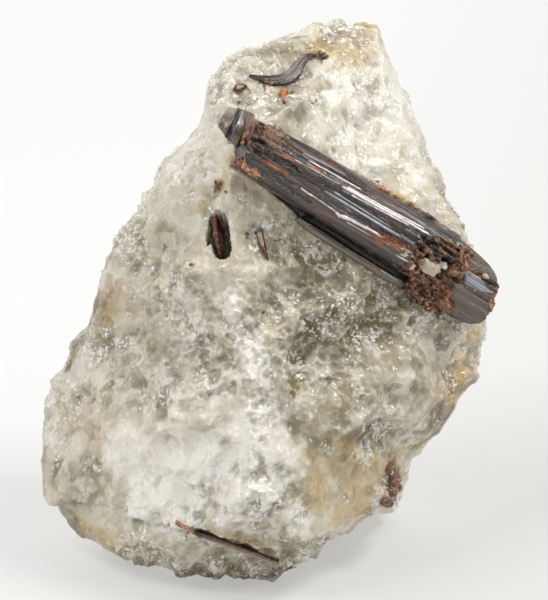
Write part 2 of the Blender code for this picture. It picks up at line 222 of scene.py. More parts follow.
# Outline from the top, clockwise: right, up, near
OUTLINE = (
    (9.2, 36.4, -4), (13.5, 35.9, -5), (14.8, 32.5, -5), (16.4, 28.3, -5), (17.9, 24.4, -5), (19.9, 18.2, -4),
    (21.3, 14.3, -3), (23.8, 11.3, -2), (25.5, 7.2, -2), (26.8, 2.6, -3), (28.0, -2.3, -5), (28.6, -4.6, -7),
    (27.5, -8.5, -8), (24.3, -13.0, -9), (21.7, -16.5, -10), (17.8, -20.4, -11), (17.0, -24.1, -12),
    (15.2, -27.6, -11), (11.3, -29.5, -8), (7.4, -32.6, -4), (3.4, -34.7, 0), (-0.5, -35.8, 2),
    (-7.7, -36.4, 2), (-14.2, -35.0, 0), (-21.3, -33.4, -3), (-25.9, -31.3, -5), (-28.6, -28.0, -6),
    (-30.2, -24.7, -6), (-31.0, -19.5, -6), (-30.3, -13.0, -7), (-27.3, -8.8, -8), (-25.9, -5.5, -8),
    (-24.0, -3.3, -8), (-23.4, 0.0, -8), (-21.8, 4.2, -8), (-20.8, 7.8, -8), (-19.4, 10.4, -8),
    (-17.2, 11.5, -7), (-16.1, 14.3, -7), (-14.2, 18.2, -6), (-11.6, 20.8, -5), (-9.3, 24.1, -4),
    (-8.8, 28.0, -4), (-6.8, 31.2, -4), (-3.8, 32.9, -4), (2.1, 34.7, -4),
)  # fmt: skip
# Fracture faces: a point on the face, and the way it looks
FACES = (
    ((9.0, 17.0, 13.4), (0.50, 0.40, 0.77)),  # white face above the big crystal
    ((0.0, 33.0, 4.0), (0.10, 0.75, 0.65)),  # crest
    ((-7.0, 12.0, 15.5), (-0.72, 0.12, 0.68)),  # upper left
    ((-7.7, 2.6, 17.5), (-0.58, -0.08, 0.81)),  # left of the ridge
    ((-24.0, -20.0, 7.0), (-0.80, -0.08, 0.60)),  # lump at the lower left
    ((-5.0, -29.0, 16.5), (-0.05, -0.80, 0.60)),  # under the ledge
    ((4.0, -14.0, 17.6), (0.22, -0.02, 0.97)),  # right of the ridge
    ((13.0, -22.0, 11.5), (0.62, -0.34, 0.71)),  # tan face at the lower right
    ((20.0, -14.0, 5.0), (0.86, -0.22, 0.46)),  # break towards the rear
    ((-12.0, 18.0, -14.0), (-0.66, 0.42, -0.62)),  # rear, upper left
    ((10.0, 20.0, -18.0), (0.45, 0.40, -0.80)),  # rear, upper right
    ((22.0, -8.0, -15.0), (0.80, -0.10, -0.60)),  # rear, right
    ((-22.0, -16.0, -14.0), (-0.70, -0.10, -0.70)),  # rear, left
    ((0.0, 5.0, -19.5), (0.08, 0.25, -0.96)),  # rear, middle
)
SUNKEN_FACE = ((12.0, 4.0, 10.2), (0.40, 0.16, 0.90))
STEP_WIDTH = 2.2
# Hollows: right, up, half width, half height, depth
HOLLOWS = (
    (3.4, -8.3, 2.4, 3.0, 1.8),
    (2.1, -14.3, 2.2, 3.6, 1.2),
    (12.0, -3.5, 4.2, 3.0, 1.3),
    (-14.0, -7.0, 4.0, 7.0, 1.4),
    (-19.5, 6.5, 3.0, 3.5, 1.2),
    (-6.8, -17.0, 3.5, 4.0, 0.8),
    (20.0, -9.0, 3.0, 2.5, 1.0),
)
SHOWN_FROM = 4.0  # the hollows are full where the surface is this near, and missing behind the middle
# Scoops: size, depth, tilt, seed
CHIPS = ((11.0, 1.4, 0.14, 11), (5.2, 0.75, 0.16, 12))
print(len(OUTLINE), "outline points and", len(FACES), "fracture faces")

# %% The big crystal's axis
PRISM_START = seen(-3.4, 20.4, 17.2)
PRISM_END = seen(27.8, 0.9, 4.6)
PRISM_LENGTH = float(np.linalg.norm(PRISM_END - PRISM_START))
ALONG = unit(PRISM_END - PRISM_START)
OUTWARD = unit(np.array((0, 0, 1)) - ALONG * ALONG[2])
ACROSS = np.cross(OUTWARD, ALONG)


def in_prism(places):
    """Share of the axis, distance across and distance outward of places beside the big crystal's axis."""
    offset = places - PRISM_START
    return offset @ ALONG / PRISM_LENGTH, offset @ ACROSS, offset @ OUTWARD


print(f"the big crystal is {PRISM_LENGTH:.1f} mm long")

# %% The stone as directions drawn out to its surface


def outline_by_angle():
    """Angle about the heart, distance from it and lean towards the viewer of the outline's points."""
    places = np.array([seen(*point) for point in OUTLINE]) - HEART
    angles = np.arctan2(places[:, 1], places[:, 0])
    reach = np.hypot(places[:, 0], places[:, 1])
    order = np.argsort(angles)
    return angles[order], reach[order], (places[:, 2] / reach)[order]


def cut_to_face(reach, directions, point, facing):
    """The softened lesser of the reach and the distance to the face's plane: (r^-s + d^-s)^(-1/s)."""
    facing = unit(facing)
    cosine = directions @ facing
    limit = np.where(cosine > TINY, (seen(*point) - HEART) @ facing / np.maximum(cosine, TINY), np.inf)
    return (reach**-EDGE_SHARPNESS + limit**-EDGE_SHARPNESS) ** (-1 / EDGE_SHARPNESS)


def drawn_out_by(directions, reach):
    """The places that far from the heart in those directions."""
    return HEART + directions * reach[:, None]


def stone_body(directions):
    """Reach from the heart: a superellipsoid through the outline, cut by faces, less scoops and hollows."""
    across = np.hypot(directions[:, 0], directions[:, 1])
    angles = np.arctan2(directions[:, 1], directions[:, 0])
    known, reaches, leans = outline_by_angle()
    rim = np.interp(angles, known, reaches, period=2 * math.pi)
    lean = np.interp(angles, known, leans, period=2 * math.pi)
    forward = directions[:, 2] - lean * across
    depth = np.where(forward > 0, FRONT_DEPTH, BACK_DEPTH)
    fullness = np.where(forward > 0, FRONT_FULLNESS, BACK_FULLNESS)
    reach = ((across / rim) ** fullness + (np.abs(forward) / depth) ** fullness) ** (-1 / fullness)
    for point, facing in FACES:
        reach = cut_to_face(reach, directions, point, facing)
    sunken = cut_to_face(reach, directions, *SUNKEN_FACE)
    start, along = PRISM_START[:2], unit(PRISM_END[:2] - PRISM_START[:2])
    offset = drawn_out_by(directions, reach)[:, :2] - start
    drop = offset[:, 0] * along[1] - offset[:, 1] * along[0]
    reach = reach + (sunken - reach) * smooth_step(drop / STEP_WIDTH + 0.5)
    to_rim = smooth_step((reach * across / rim - 1 + RIM_BAND) / RIM_BAND)
    for size, depth, tilt, seed in CHIPS:
        chip = scoops(drawn_out_by(directions, reach), size, depth, tilt, seed)
        reach = reach + chip * (1 - RIM_CALM * to_rim)
    places = drawn_out_by(directions, reach)
    shown = smooth_step(places[:, 2] / SHOWN_FROM)
    for right, up, half_width, half_height, depth in HOLLOWS:
        spread = ((places[:, 0] - right) / half_width) ** 2 + ((places[:, 1] - up) / half_height) ** 2
        reach = reach - depth * shown * np.exp(-spread)
    return reach


# %% [markdown]
# The fine scoops give the sugary grain. They are deepest where the quartz is crushed and nearly missing on
# the glassy panes, so a slow noise turns them up and down. The groove limits how far out the surface may
# come, the pit is pressed in, and the resting face is a plane that no direction passes.

# %% Fine relief, groove, pit and resting face
STONE_CELLS = 128
SHOW_SIDE_SHARE = 0.35  # draws the mesh's places towards the show side
GRAIN_SIZE = 9.0  # of the slow noise that turns the grain up and down
LEAST_GRAIN = 0.35  # what is left of the fine scoops on a glassy pane
FINE_CHIPS = ((3.3, 0.62, 0.26, 21), (1.6, 0.28, 0.3, 22), (0.8, 0.12, 0.34, 23))
DIRECTION_JITTER = 0.003  # keeps the rows of the cube's skin from showing in the grain
LEDGE = ((-22.0, -26.5), (-16.0, -28.9), (-8.0, -29.6), (-1.0, -30.6), (6.0, -30.2), (12.0, -28.0))
LEDGE_STEP = 1.1
# The groove: shares of the axis, then its lower and upper edge and its floor there
GROOVE = ((-0.045, -2.2, 2.6, 0.0), (0.0, -3.3, 2.8, -0.7), (0.22, -3.6, 3.4, -1.0), (0.32, -4.5, 3.7, -1.2),
          (0.70, -4.7, 3.9, -1.2), (0.80, -5.0, 3.7, -1.2), (1.03, -4.4, 3.4, -1.2))  # fmt: skip
LOWER_WALL, UPPER_WALL = 1.1, 3.0  # rise of its walls for each mm
# Painted shade darkens the stone in the groove where it is cut deeper than this and not farther out.
GROOVE_SHADE_DEPTH = 0.6  # it is dark where it is cut deeper than this and not farther out
PIT_MIDDLE = (-6.8, 8.2)
PIT_HALF = (1.2, 2.9)
PIT_SLANT = 0.12
PIT_DEPTH = 3.0
PIT_POWER = 3  # 2 would make it an ellipse, more makes it squarer
PIT_RIM, PIT_FOOT = 1.08, 0.92  # shares of the half sizes at the top and foot of its wall
LEDGE_FOOT = -35.5
LEAST_COSINE = 0.45  # keeps a limit from drawing a place far sideways


# %% How far out the stone may come in the groove


def limit_height(reach, directions, height, outward, ceiling):
    """Reach shortened so that the height along `outward` stays below the ceiling."""
    cosine = np.maximum(directions @ outward, LEAST_COSINE)
    return reach - np.maximum(height - ceiling, 0) / cosine


def groove_ceiling(places):
    """How far outward the stone may come there, how far outward it is, and how far outside the groove."""
    share, across, outward = in_prism(places)
    low, high, floor = columns_at(GROOVE, share)
    outside = np.maximum(np.maximum(LOWER_WALL * (low - across), UPPER_WALL * (across - high)), 0)
    beyond = past(share, GROOVE[0][0], GROOVE[-1][0]) * PRISM_LENGTH
    return floor + np.hypot(outside, UPPER_WALL * beyond), outward, outside


print("1 mm beside the groove the ceiling rises", UPPER_WALL, "mm above it and", LOWER_WALL, "mm below it")

# %% The finished surface


def stone_surface(directions):
    """Places of the finished surface, its grain mask, its depth in the fine scoops, and its painted shade."""
    reach = stone_body(directions)
    places = drawn_out_by(directions, reach)
    grain = smooth_step(0.55 + 0.9 * fractal(places, GRAIN_SIZE, 31, 3))
    sunk = np.zeros(len(places))
    for size, depth, tilt, seed in FINE_CHIPS:
        chip = scoops(places, size, depth, tilt, seed) * (LEAST_GRAIN + (1 - LEAST_GRAIN) * grain)
        sunk += chip / depth
        reach = reach + chip
        places = drawn_out_by(directions, reach)
    edge = columns_at(LEDGE, places[:, 0])[0] + 0.5 * fractal(places, 2.2, 33, 3)
    below = smooth_step((edge - places[:, 1]) / 0.5) * smooth_step((places[:, 1] - LEDGE_FOOT) / 3)
    reach = reach - LEDGE_STEP * below
    places = drawn_out_by(directions, reach)
    ceiling, outward, _ = groove_ceiling(places)
    for _ in range(2):  # a lowered place also moves sideways, so its ceiling is taken midway
        lowered = limit_height(reach, directions, outward, OUTWARD, ceiling)
        places = drawn_out_by(directions, lowered)
        there, _, outside = groove_ceiling(places)
        # Painted shade on the groove floor where it is cut deep under the big crystal
        painted_shade = smooth_step(outward - ceiling - GROOVE_SHADE_DEPTH) * smooth_step((GROOVE_SHADE_DEPTH - outside) / 0.5)
        ceiling = (ceiling + there) / 2
    reach = lowered
    aside, above = (places[:, :2] - PIT_MIDDLE).T
    wide, high = np.abs((aside + PIT_SLANT * above) / PIT_HALF[0]), np.abs(above / PIT_HALF[1])
    spread = (wide**PIT_POWER + high**PIT_POWER) ** (1 / PIT_POWER)
    pit = smooth_step((PIT_RIM - spread) / (PIT_RIM - PIT_FOOT)) * (places[:, 2] > 0)
    reach = reach - PIT_DEPTH * pit
    # The whole pit is painted dark as shade
    painted_shade = np.maximum(painted_shade, pit)
    down = -in_axes_of_floor(directions)
    to_floor = in_axes_of_floor(HEART[None])[0] + MIDDLE_HEIGHT
    reach = np.where(down > TINY, np.minimum(reach, to_floor / np.maximum(down, TINY)), reach)
    return drawn_out_by(directions, reach), grain, sunk, painted_shade


def in_axes_of_floor(places):
    """Height above the show side's middle: the world's z of right, up, near."""
    return places @ np.array((RIGHT[2], UP[2], NEAR[2]))


directions, quads = cube_sphere(STONE_CELLS)
jitter = np.random.default_rng(30).normal(0, DIRECTION_JITTER, directions.shape)
directions = unit(directions + jitter + (0, 0, SHOW_SIDE_SHARE))
stone_places, stone_grain, stone_sunk, stone_painted_shade = stone_surface(directions)
print(len(stone_places), "places, scooped by", np.percentile(stone_sunk, (5, 95)).round(2), "scoop depths")

# %% [markdown]
# ## Where the stone is white, smoky or stained
# Milky quartz is white where it is full of tiny cracks and bubbles and grey where it is clear. Iron has
# stained it yellow near the top and along the rear right edge, and rust-brown beside the rutile. Each patch
# is an ellipse as seen from the show side, with a ragged edge from noise. Behind, slow noise does the job.

# %% Patches on the show side
# right, up, half width, half height, turn in degrees, strength
WHITE = (
    (9.9, 21.5, 6.5, 9.5, -25, 0.75), (-5.5, -0.6, 4.2, 1.6, -35, 0.9), (-2.9, -6.8, 1.7, 4.8, 10, 0.9),
    (-1.2, -12.8, 2.4, 3.4, 25, 0.8), (-10.9, -23.4, 9.5, 5.8, -8, 1.0), (-18.7, -19.5, 2.6, 4.2, 20, 0.9),
    (-4.7, -25.6, 5.4, 3.8, 0, 0.9), (3.4, -28.6, 1.9, 2.6, 0, 1.0), (-10.9, 19.5, 3.6, 5.0, -30, 0.5),
    (-2.4, -18.2, 4.6, 4.6, 0, 1.0), (-10.4, -3.0, 1.8, 5.0, 15, 0.6), (-14.5, -9.0, 1.0, 5.0, 10, 0.45),
    (17.6, 23.0, 1.8, 8.0, 17, 0.8), (-6.5, -10.5, 2.2, 2.6, 0, 0.7), (5.5, -1.8, 1.2, 2.0, 0, 0.5),
    (12.2, -5.8, 2.2, 0.9, -50, 0.55), (17.5, -10.5, 2.8, 1.2, 30, 0.4), (-17.5, -8.0, 1.3, 3.0, 0, 0.5),
    (-12.4, -13.6, 3.0, 1.6, -35, 0.6), (-17.7, -26.5, 2.4, 2.2, 0, 1.0), (-21.5, 2.5, 1.6, 2.2, 0, 0.5),
    (24.5, -6.0, 1.2, 2.6, -25, 0.5), (0.6, -21.0, 3.0, 3.2, 0, 0.85), (-4.0, -3.0, 2.2, 3.0, 0, 0.8),
    (0.2, -9.8, 1.6, 2.4, 20, 0.6), (20.2, -5.0, 2.6, 3.0, 0, 0.35),
)  # fmt: skip
SMOKE_AND_RIM_SHADE = (
    (8.6, 1.0, 9.1, 7.2, -25, 1.0), (17.7, -7.5, 7.2, 6.0, 0, 0.55), (7.8, -15.6, 6.0, 7.8, 0, 0.6),
    (-1.5, 7.0, 3.4, 2.6, 0, 0.35), (-19.0, -7.0, 5.2, 5.2, 0, 0.55), (-25.2, -21.0, 3.4, 6.0, 0, 0.7),
    (3.1, -8.9, 1.5, 2.0, 0, 1.0), (2.1, -12.0, 1.5, 2.6, 0, 1.0), (2.6, -16.2, 1.0, 1.8, 0, 0.8),
    (1.2, 32.5, 3.6, 2.0, 0, 1.0), (1.8, 20.6, 3.0, 1.6, -25, 0.7), (21.6, -15.2, 1.3, 5.6, -35, 1.0),
    (-20.7, -5.9, 2.0, 2.8, 0, 0.8), (-8.6, 12.3, 1.2, 2.2, 0, 0.5), (-11.6, 3.3, 2.6, 1.5, -20, 0.6),
    (6.0, 4.2, 4.4, 4.6, 0, 1.0),
    # Painted shade: the first four rows below, along the bottom rim, darken the undercut in the smoky colour
    (-26.5, -29.0, 3.6, 1.4, -42, 0.9), (-19.0, -34.2, 5.2, 1.2, -14, 1.0), (-8.0, -36.0, 8.0, 1.5, 0, 1.0),
    (2.5, -35.0, 5.0, 1.1, 14, 1.0), (13.5, -27.2, 2.2, 1.8, 0, 0.7), (-4.0, -31.2, 3.0, 1.0, -18, 0.6),
    (8.5, -7.0, 1.6, 3.2, -20, 0.9), (-14.8, -14.2, 1.0, 2.4, 20, 0.7), (2.6, 0.5, 1.6, 2.4, 0, 0.8),
    (-26.0, -11.0, 2.6, 4.0, 0, 0.9), (-14.0, 7.5, 3.0, 2.5, 0, 0.6), (2.5, 25.0, 2.6, 1.8, 0, 0.6),
)  # fmt: skip
IRON = (
    (9.6, 33.0, 4.2, 3.2, 0, 0.55), (6.4, 33.2, 2.6, 0.8, 10, 1.0), (11.6, 34.8, 2.0, 2.0, 0, 0.6),
    (24.4, -9.0, 1.8, 5.0, -25, 0.7), (10.5, -24.5, 6.5, 5.4, 20, 0.6), (16.5, 13.0, 2.2, 0.7, -30, 1.0),
    (-5.6, 18.4, 0.6, 1.0, -30, 0.9), (-6.9, 15.6, 0.6, 1.3, -25, 0.5), (-9.1, 12.1, 0.3, 1.1, -50, 0.6),
    (-23.0, -30.6, 5.5, 1.2, -25, 0.6), (-25.0, -15.0, 3.5, 4.0, 0, 0.3), (5.0, 16.0, 6.0, 3.0, -30, 0.25),
    (-4.0, -31.0, 3.0, 0.9, -18, 0.5), (0.0, 20.5, 2.4, 1.4, -25, 0.4),
)  # fmt: skip
RUST = (
    (15.4, -24.0, 1.0, 3.2, -10, 0.9), (-7.2, 14.6, 0.5, 0.8, -25, 1.0), (-5.3, 17.8, 0.3, 0.5, -30, 0.7),
    (13.2, 14.7, 1.6, 0.5, -30, 0.7), (21.2, -15.2, 0.8, 2.4, -35, 0.4), (-7.2, 8.2, 0.9, 2.6, 0, 0.5),
    (1.1, 27.6, 0.9, 0.5, 0, 0.4), (7.2, 34.0, 1.6, 0.3, 5, 0.6), (3.2, 27.9, 0.6, 0.3, 10, 0.5),
)  # fmt: skip

# Painted shade: undercut rims, which no light reaches, and recesses beside and below the big crystal
PAINTED_SHADE_PATCHES = (
    (-26.3, -29.9, 3.8, 0.9, -42, 0.5), (-19.0, -34.9, 5.4, 0.9, -14, 0.5), (-8.0, -36.5, 8.0, 1.1, 0, 0.5),
    (2.5, -35.4, 5.0, 0.8, 14, 0.5), (22.6, -16.0, 0.7, 6.0, -35, 0.5), (-30.4, -22.0, 0.7, 5.0, 0, 0.25),
    (7.0, 4.0, 4.5, 5.0, -20, 0.2), (0.2, -12.6, 1.8, 3.4, 25, 0.25), (-4.3, 20.6, 0.5, 1.6, -20, 0.9),
)  # fmt: skip
print(sum(map(len, (WHITE, SMOKE_AND_RIM_SHADE, IRON, RUST, PAINTED_SHADE_PATCHES))), "patches")


# %% Masks from the patches
RAG_SIZE = 2.6  # of the noise at a patch's edge


def patch_mask(places, patches, raggedness, seed):
    """The greatest, over the patches, of strength * smooth step of (1.3 - elliptical distance + noise)."""
    as_seen = places[:, :2] / (1 - places[:, 2:] / VIEW_DISTANCE)
    edge = raggedness * fractal(places, RAG_SIZE, seed, 4)
    mask = np.zeros(len(places))
    for right, up, half_width, half_height, turn, strength in patches:
        cosine, sine = math.cos(math.radians(turn)), math.sin(math.radians(turn))
        x, y = as_seen[:, 0] - right, as_seen[:, 1] - up
        distance = np.hypot((x * cosine + y * sine) / half_width, (y * cosine - x * sine) / half_height)
        mask = np.maximum(mask, strength * smooth_step((1.3 - distance + edge) / 0.7))
    return mask * smooth_step(places[:, 2] / 3 + 2.5)


behind = smooth_step(1 - stone_places[:, 2] / 5)
slow = fractal(stone_places, 13.0, 61, 3)
white = np.maximum(patch_mask(stone_places, WHITE, 0.45, 41), behind * smooth_step(slow * 1.6 - 0.1) * 0.7)
smoke_and_rim_shade = np.maximum(patch_mask(stone_places, SMOKE_AND_RIM_SHADE, 0.4, 45), behind * smooth_step(-slow * 1.6 - 0.1) * 0.7)
stain = smooth_step(fractal(stone_places, 10.0, 71, 4) * 1.8 - 0.75)
iron = np.maximum(patch_mask(stone_places, IRON, 0.6, 49), behind * stain * 0.7)
rust = np.maximum(patch_mask(stone_places, RUST, 0.7, 53), behind * smooth_step(stain * 2 - 1.5) * 0.7)
# Painted shade from these patches joins the painted shade of the groove and the pit
stone_painted_shade = np.maximum(stone_painted_shade, patch_mask(stone_places, PAINTED_SHADE_PATCHES, 0.3, 57))
print("mean masks:", [round(float(mask.mean()), 3) for mask in (white, smoke_and_rim_shade, iron, rust)])

# %% [markdown]
# A crystal or speck is placed where it is seen, at a right and an up. How near it lies follows from the lump:
# a ray from the eye through that point stops at the stone. A search tree of the faces makes that quick.

# %% Where a sight line meets the lump
stone_tree = BVHTree.FromPolygons(in_world(stone_places).tolist(), quads.tolist())
EYE = in_world(np.array([(0, 0, VIEW_DISTANCE)]))[0]


def on_stone(right, up):
    """The place on the stone seen at (right, up): where the ray from the eye through it first hits."""
    target = in_world(np.array([(right, up, 0.0)]))[0]
    hit = stone_tree.ray_cast(Vector(EYE), Vector(target - EYE).normalized())[0]
    offset = np.array(hit) / MM - (0, 0, MIDDLE_HEIGHT)
    return np.array((offset @ RIGHT, offset @ UP, offset @ NEAR))


print("the ridge stands", on_stone(-2.9, -6.8)[2].round(2), "mm nearer than the middle")

# %% [markdown]
# ## Bars of rutile
# Rutile grows as long prisms with fine lines along them. A bar here is a closed section carried along a
# path: its top is a height for every share of the length and distance across, its walls and floor go down
# into the stone, and both ends are filled by shrinking copies of the last section. Strokes are painted and
# pressed into the top: a groove, a raised bar, a rusty streak.

# %% A bar's places and faces
WALL_STEPS = 5
FLOOR_STEPS = 6
TORN_LENGTH = 0.75  # how far from each end the bar is torn
END_RINGS = (0.66, 0.33)  # sizes of the shrinking copies that close an end


def bar_mesh(path, outward, sides, crown, floor, cells, ragged, seed, shear=0.0):
    """Places, faces and values of a bar.

    A place is path(share) + side * across + outward * height, moved along by shear * across. The section runs
    along the top from low to high side, down the wall, back along the floor and up again. `sides` has rows of
    share, low, high."""
    path, known = np.asarray(path, float), way_along(path)
    length = known[-1]
    share = np.linspace(0, 1, cells[0])[:, None]
    top = np.linspace(0, 1, cells[1])
    wall = np.linspace(0, 1, WALL_STEPS + 2)[1:-1]
    bottom = np.linspace(1, 0, FLOOR_STEPS)
    place_across = np.concatenate((top, np.ones(WALL_STEPS), bottom, np.zeros(WALL_STEPS)))
    sink = np.concatenate((np.zeros(cells[1]), wall, np.ones(FLOOR_STEPS), wall[::-1]))
    low, high = columns_at(sides, share)
    across = low + place_across * (high - low)
    share = np.broadcast_to(share, across.shape)
    flat = np.stack((share * length, across, np.zeros_like(across)), -1).reshape(-1, 3)
    part = np.broadcast_to(place_across, across.shape)
    height, values = crown(share.ravel(), across.ravel(), part.ravel(), flat)
    height = height.reshape(across.shape)
    height = height + sink * (floor - height)
    centre = np.stack([np.interp(share * length, known, path[:, axis]) for axis in range(3)], -1)
    from_end = (0.5 - np.abs(share - 0.5)) * length
    ends_out = np.where(share < 0.5, -1, 1) * smooth_step(1 - from_end / TORN_LENGTH)
    torn = (fractal(flat * (0, 1, 0) + (0, 0, seed), 0.9, seed, 3) * ragged).reshape(across.shape) * ends_out
    tangent = unit(np.gradient(centre, axis=0))
    side = unit(np.cross(outward, tangent))
    slide = torn + shear * across
    places = centre + tangent * slide[..., None] + side * across[..., None] + outward * height[..., None]
    rings, numbers = [places], [np.arange(across.size).reshape(across.shape)]
    for inward in END_RINGS:
        for at in (0, -1):
            where = len(rings) if at else 0
            end, middle = places[at], places[at].mean(0)
            bump = fractal(end + seed, 0.7, seed + 5, 2)[:, None] * tangent[at] * ragged * 0.4
            rings.insert(where, (middle + (end - middle) * inward + bump)[None])
            numbers.insert(where, numbers[-1 if at else 0][at][None])
    grid = np.concatenate(rings)
    source = np.concatenate(numbers)
    around = grid.shape[1]
    index = np.arange(grid.shape[0] * around).reshape(grid.shape[:2])
    quads = np.stack(
        (index[:-1], np.roll(index, -1, 1)[:-1], np.roll(index, -1, 1)[1:], index[1:]), -1
    ).reshape(-1, 4)
    poles = np.array((grid[0].mean(0), grid[-1].mean(0)))
    caps = np.concatenate(
        [
            np.stack((np.full(around, index.size), np.roll(index[0], -1), index[0]), -1),
            np.stack((np.full(around, index.size + 1), index[-1], np.roll(index[-1], -1)), -1),
        ]
    )
    source = np.concatenate((source.ravel(), (source[0, 0], source[-1, 0])))
    values = {key: np.asarray(value)[source] for key, value in values.items()}
    values["along"] = np.stack((flat[source][:, 0], flat[source][:, 1], height.ravel()[source]), -1)
    return np.concatenate((grid.reshape(-1, 3), poles)), [quads, caps], values


def striation(flat, width, length, seed):
    """Noise drawn out along the bar: lines of the given width that fade in and out over the given length."""
    return noise(flat / (length, width, 1.0), 1.0, seed)


# %% Lines and strokes
FRAY = 0.7  # how much of its width a stroke gains or loses from line to line


def stroke_mask(share, across, stroke_ends, half_width, length, flat, soft=0.07, fall=0.3, fray=FRAY):
    """1 within half_width * (1 + fray) of the line between two (share, across) ends, fading over `soft`."""
    (first, start), (last, stop) = stroke_ends
    middle = np.interp(share, (first, last), (start, stop))
    beyond = past(share, first, last) * length
    seed = 900 + int(abs(first * 100 + start * 10))
    fray = fray * (striation(flat, 0.13, 2.2, seed) + 0.5 * noise(flat, 0.35, seed + 1))
    distance = np.abs(across - middle) + fall * beyond
    return smooth_step((half_width * (1 + fray) - distance) / soft + 0.5)


# %% [markdown]
# ## The big prism
# It is a bundle of parallel ribs between two shear faces. Some ribs are black, some mauve-brown, and a few
# carry white or pale blue bars that are painted highlights and painted reflections. Towards its right end it
# is broken, with rust and grains of quartz in the break, and a thicker block with its own facets ends it.

# %% The big prism's section and strokes
# Across and height of the top's edges, between the end block and the left end
PRISM_CROWN = ((-3.7, 0.2), (-3.55, 1.3), (-3.1, 1.95), (-1.8, 2.35), (-1.55, 2.55), (-0.7, 2.5),
               (-0.5, 2.7), (0.5, 2.75), (0.75, 2.9), (2.2, 2.75), (2.45, 2.5), (3.3, 2.05), (3.7, 1.6),
               (4.1, 0.6))  # fmt: skip
BLOCK_CROWN = ((-5.2, 0.8), (-4.9, 1.9), (-3.9, 2.6), (-1.2, 3.1), (-0.9, 2.75), (1.1, 2.9), (1.3, 3.2),
               (2.3, 3.0), (3.6, 1.9), (4.1, 0.9))  # fmt: skip
BLOCK_FROM, BLOCK_FULL = 0.815, 0.85
BREAK_FROM, BREAK_TO = 0.655, 0.87
PRISM_SIDES = ((0.0, -3.5, 2.7), (0.03, -3.65, 3.1), (0.1, -3.7, 3.4), (0.25, -3.7, 3.8), (0.4, -3.65, 4.0),
               (0.57, -3.6, 4.05), (0.72, -3.6, 4.0), (0.8, -4.6, 3.9), (0.85, -5.1, 3.9), (0.92, -5.0, 3.4),
               (0.95, -4.6, 3.1), (0.975, -3.9, 2.6), (1.0, -2.5, 1.4))  # fmt: skip
# What, from (share, across) to (share, across), half width, raise, strength
PRISM_STROKES = (
    ("black", (0.03, -2.15), (0.26, -2.05), 0.28, -0.10, 1.0),
    ("black", (0.06, 0.15), (0.17, 0.3), 0.3, -0.35, 1.0),
    ("black", (0.17, -0.2), (0.64, -0.45), 0.22, -0.22, 0.9),
    ("black", (0.28, 0.75), (0.66, 0.85), 0.28, -0.25, 1.0),
    ("black", (0.2, 1.25), (0.62, 1.35), 0.12, -0.15, 0.8),
    ("black", (0.33, -0.95), (0.6, -0.8), 0.16, -0.12, 0.8),
    ("black", (0.0, -3.3), (0.7, -3.35), 0.22, -0.1, 0.7),
    ("black", (0.1, 2.45), (0.45, 2.75), 0.12, -0.12, 0.6),
    ("black", (0.0, 2.6), (0.12, 3.0), 0.2, 0.05, 0.7),
    ("black", (0.02, -1.25), (0.32, -1.3), 0.2, -0.1, 0.9),
    ("black", (0.06, 1.7), (0.3, 2.0), 0.16, -0.1, 0.8),
    ("black", (0.05, 0.6), (0.24, 0.65), 0.16, -0.1, 0.8),
    ("pale", (0.36, 1.55), (0.7, 2.3), 0.10, 0.06, 1.0),
    ("pale", (0.38, 1.85), (0.68, 2.55), 0.07, 0.05, 0.9),
    ("pale", (0.4, 1.3), (0.62, 1.85), 0.06, 0.04, 0.9),
    ("pale", (0.22, 2.1), (0.42, 2.5), 0.07, 0.03, 0.7),
    ("blue", (0.2, 2.6), (0.36, 3.0), 0.09, 0.02, 0.8),
    ("blue", (0.55, 2.9), (0.68, 3.0), 0.08, 0.02, 0.7),
    ("pale", (0.4, -1.45), (0.535, -1.1), 0.13, 0.06, 1.0),
    ("pale", (0.375, -1.72), (0.395, -1.62), 0.18, 0.08, 1.0),
    ("pale", (0.41, -1.9), (0.5, -1.75), 0.05, 0.02, 0.6),
    ("pale", (0.22, -1.35), (0.37, -1.55), 0.06, 0.03, 0.6),
    ("blue", (0.31, -0.1), (0.6, 0.1), 0.13, 0.08, 1.0),
    ("blue", (0.34, 0.45), (0.56, 0.5), 0.08, 0.02, 0.8),
    ("pale", (0.62, -2.2), (0.72, -1.9), 0.08, 0.03, 0.7),
    ("pale", (0.17, 1.3), (0.34, 1.6), 0.04, 0.02, 0.6),
    ("blue", (0.66, 2.9), (0.8, 2.8), 0.1, 0.02, 0.5),
    ("orange", (0.1, 0.85), (0.15, 1.0), 0.1, 0.0, 0.6),
    ("red", (0.09, 0.75), (0.18, 1.1), 0.12, 0.0, 0.7),
    ("red", (0.07, -0.9), (0.15, -0.78), 0.2, 0.05, 1.0),
    ("orange", (0.09, -0.85), (0.12, -0.82), 0.1, 0.02, 0.6),
    ("red", (0.17, -0.75), (0.3, -1.1), 0.07, 0.0, 0.5),
    ("orange", (0.235, 1.7), (0.24, 1.75), 0.24, 0.03, 0.7),
    ("red", (0.25, 2.9), (0.34, 3.2), 0.14, 0.0, 0.5),
    ("red", (0.53, -1.7), (0.6, -1.2), 0.3, -0.1, 0.8),
    ("red", (0.3, -2.6), (0.36, -2.4), 0.12, 0.0, 0.4),
    ("rust", (-0.03, 1.9), (0.1, 2.4), 0.7, -0.1, 0.45),
    ("rust", (-0.02, -2.9), (0.05, -2.9), 0.5, 0.0, 1.0),
    ("rust", (0.56, -0.9), (0.66, -0.5), 0.35, -0.25, 0.8),
    ("rust", (0.82, 2.6), (0.86, 1.2), 0.7, 0.1, 1.0),
    ("blue", (0.875, 0.2), (0.925, 0.2), 0.75, 0.0, 0.9),
    ("black", (0.93, 1.3), (0.965, 1.3), 0.45, -0.3, 1.0),
    ("grey", (0.87, 3.0), (0.97, 3.2), 0.9, 0.0, 0.9),
    ("grey", (0.87, -2.8), (1.0, -2.8), 1.9, 0.0, 0.6),
    ("pale", (0.86, 0.9), (0.93, 0.95), 0.05, 0.02, 0.6),
)
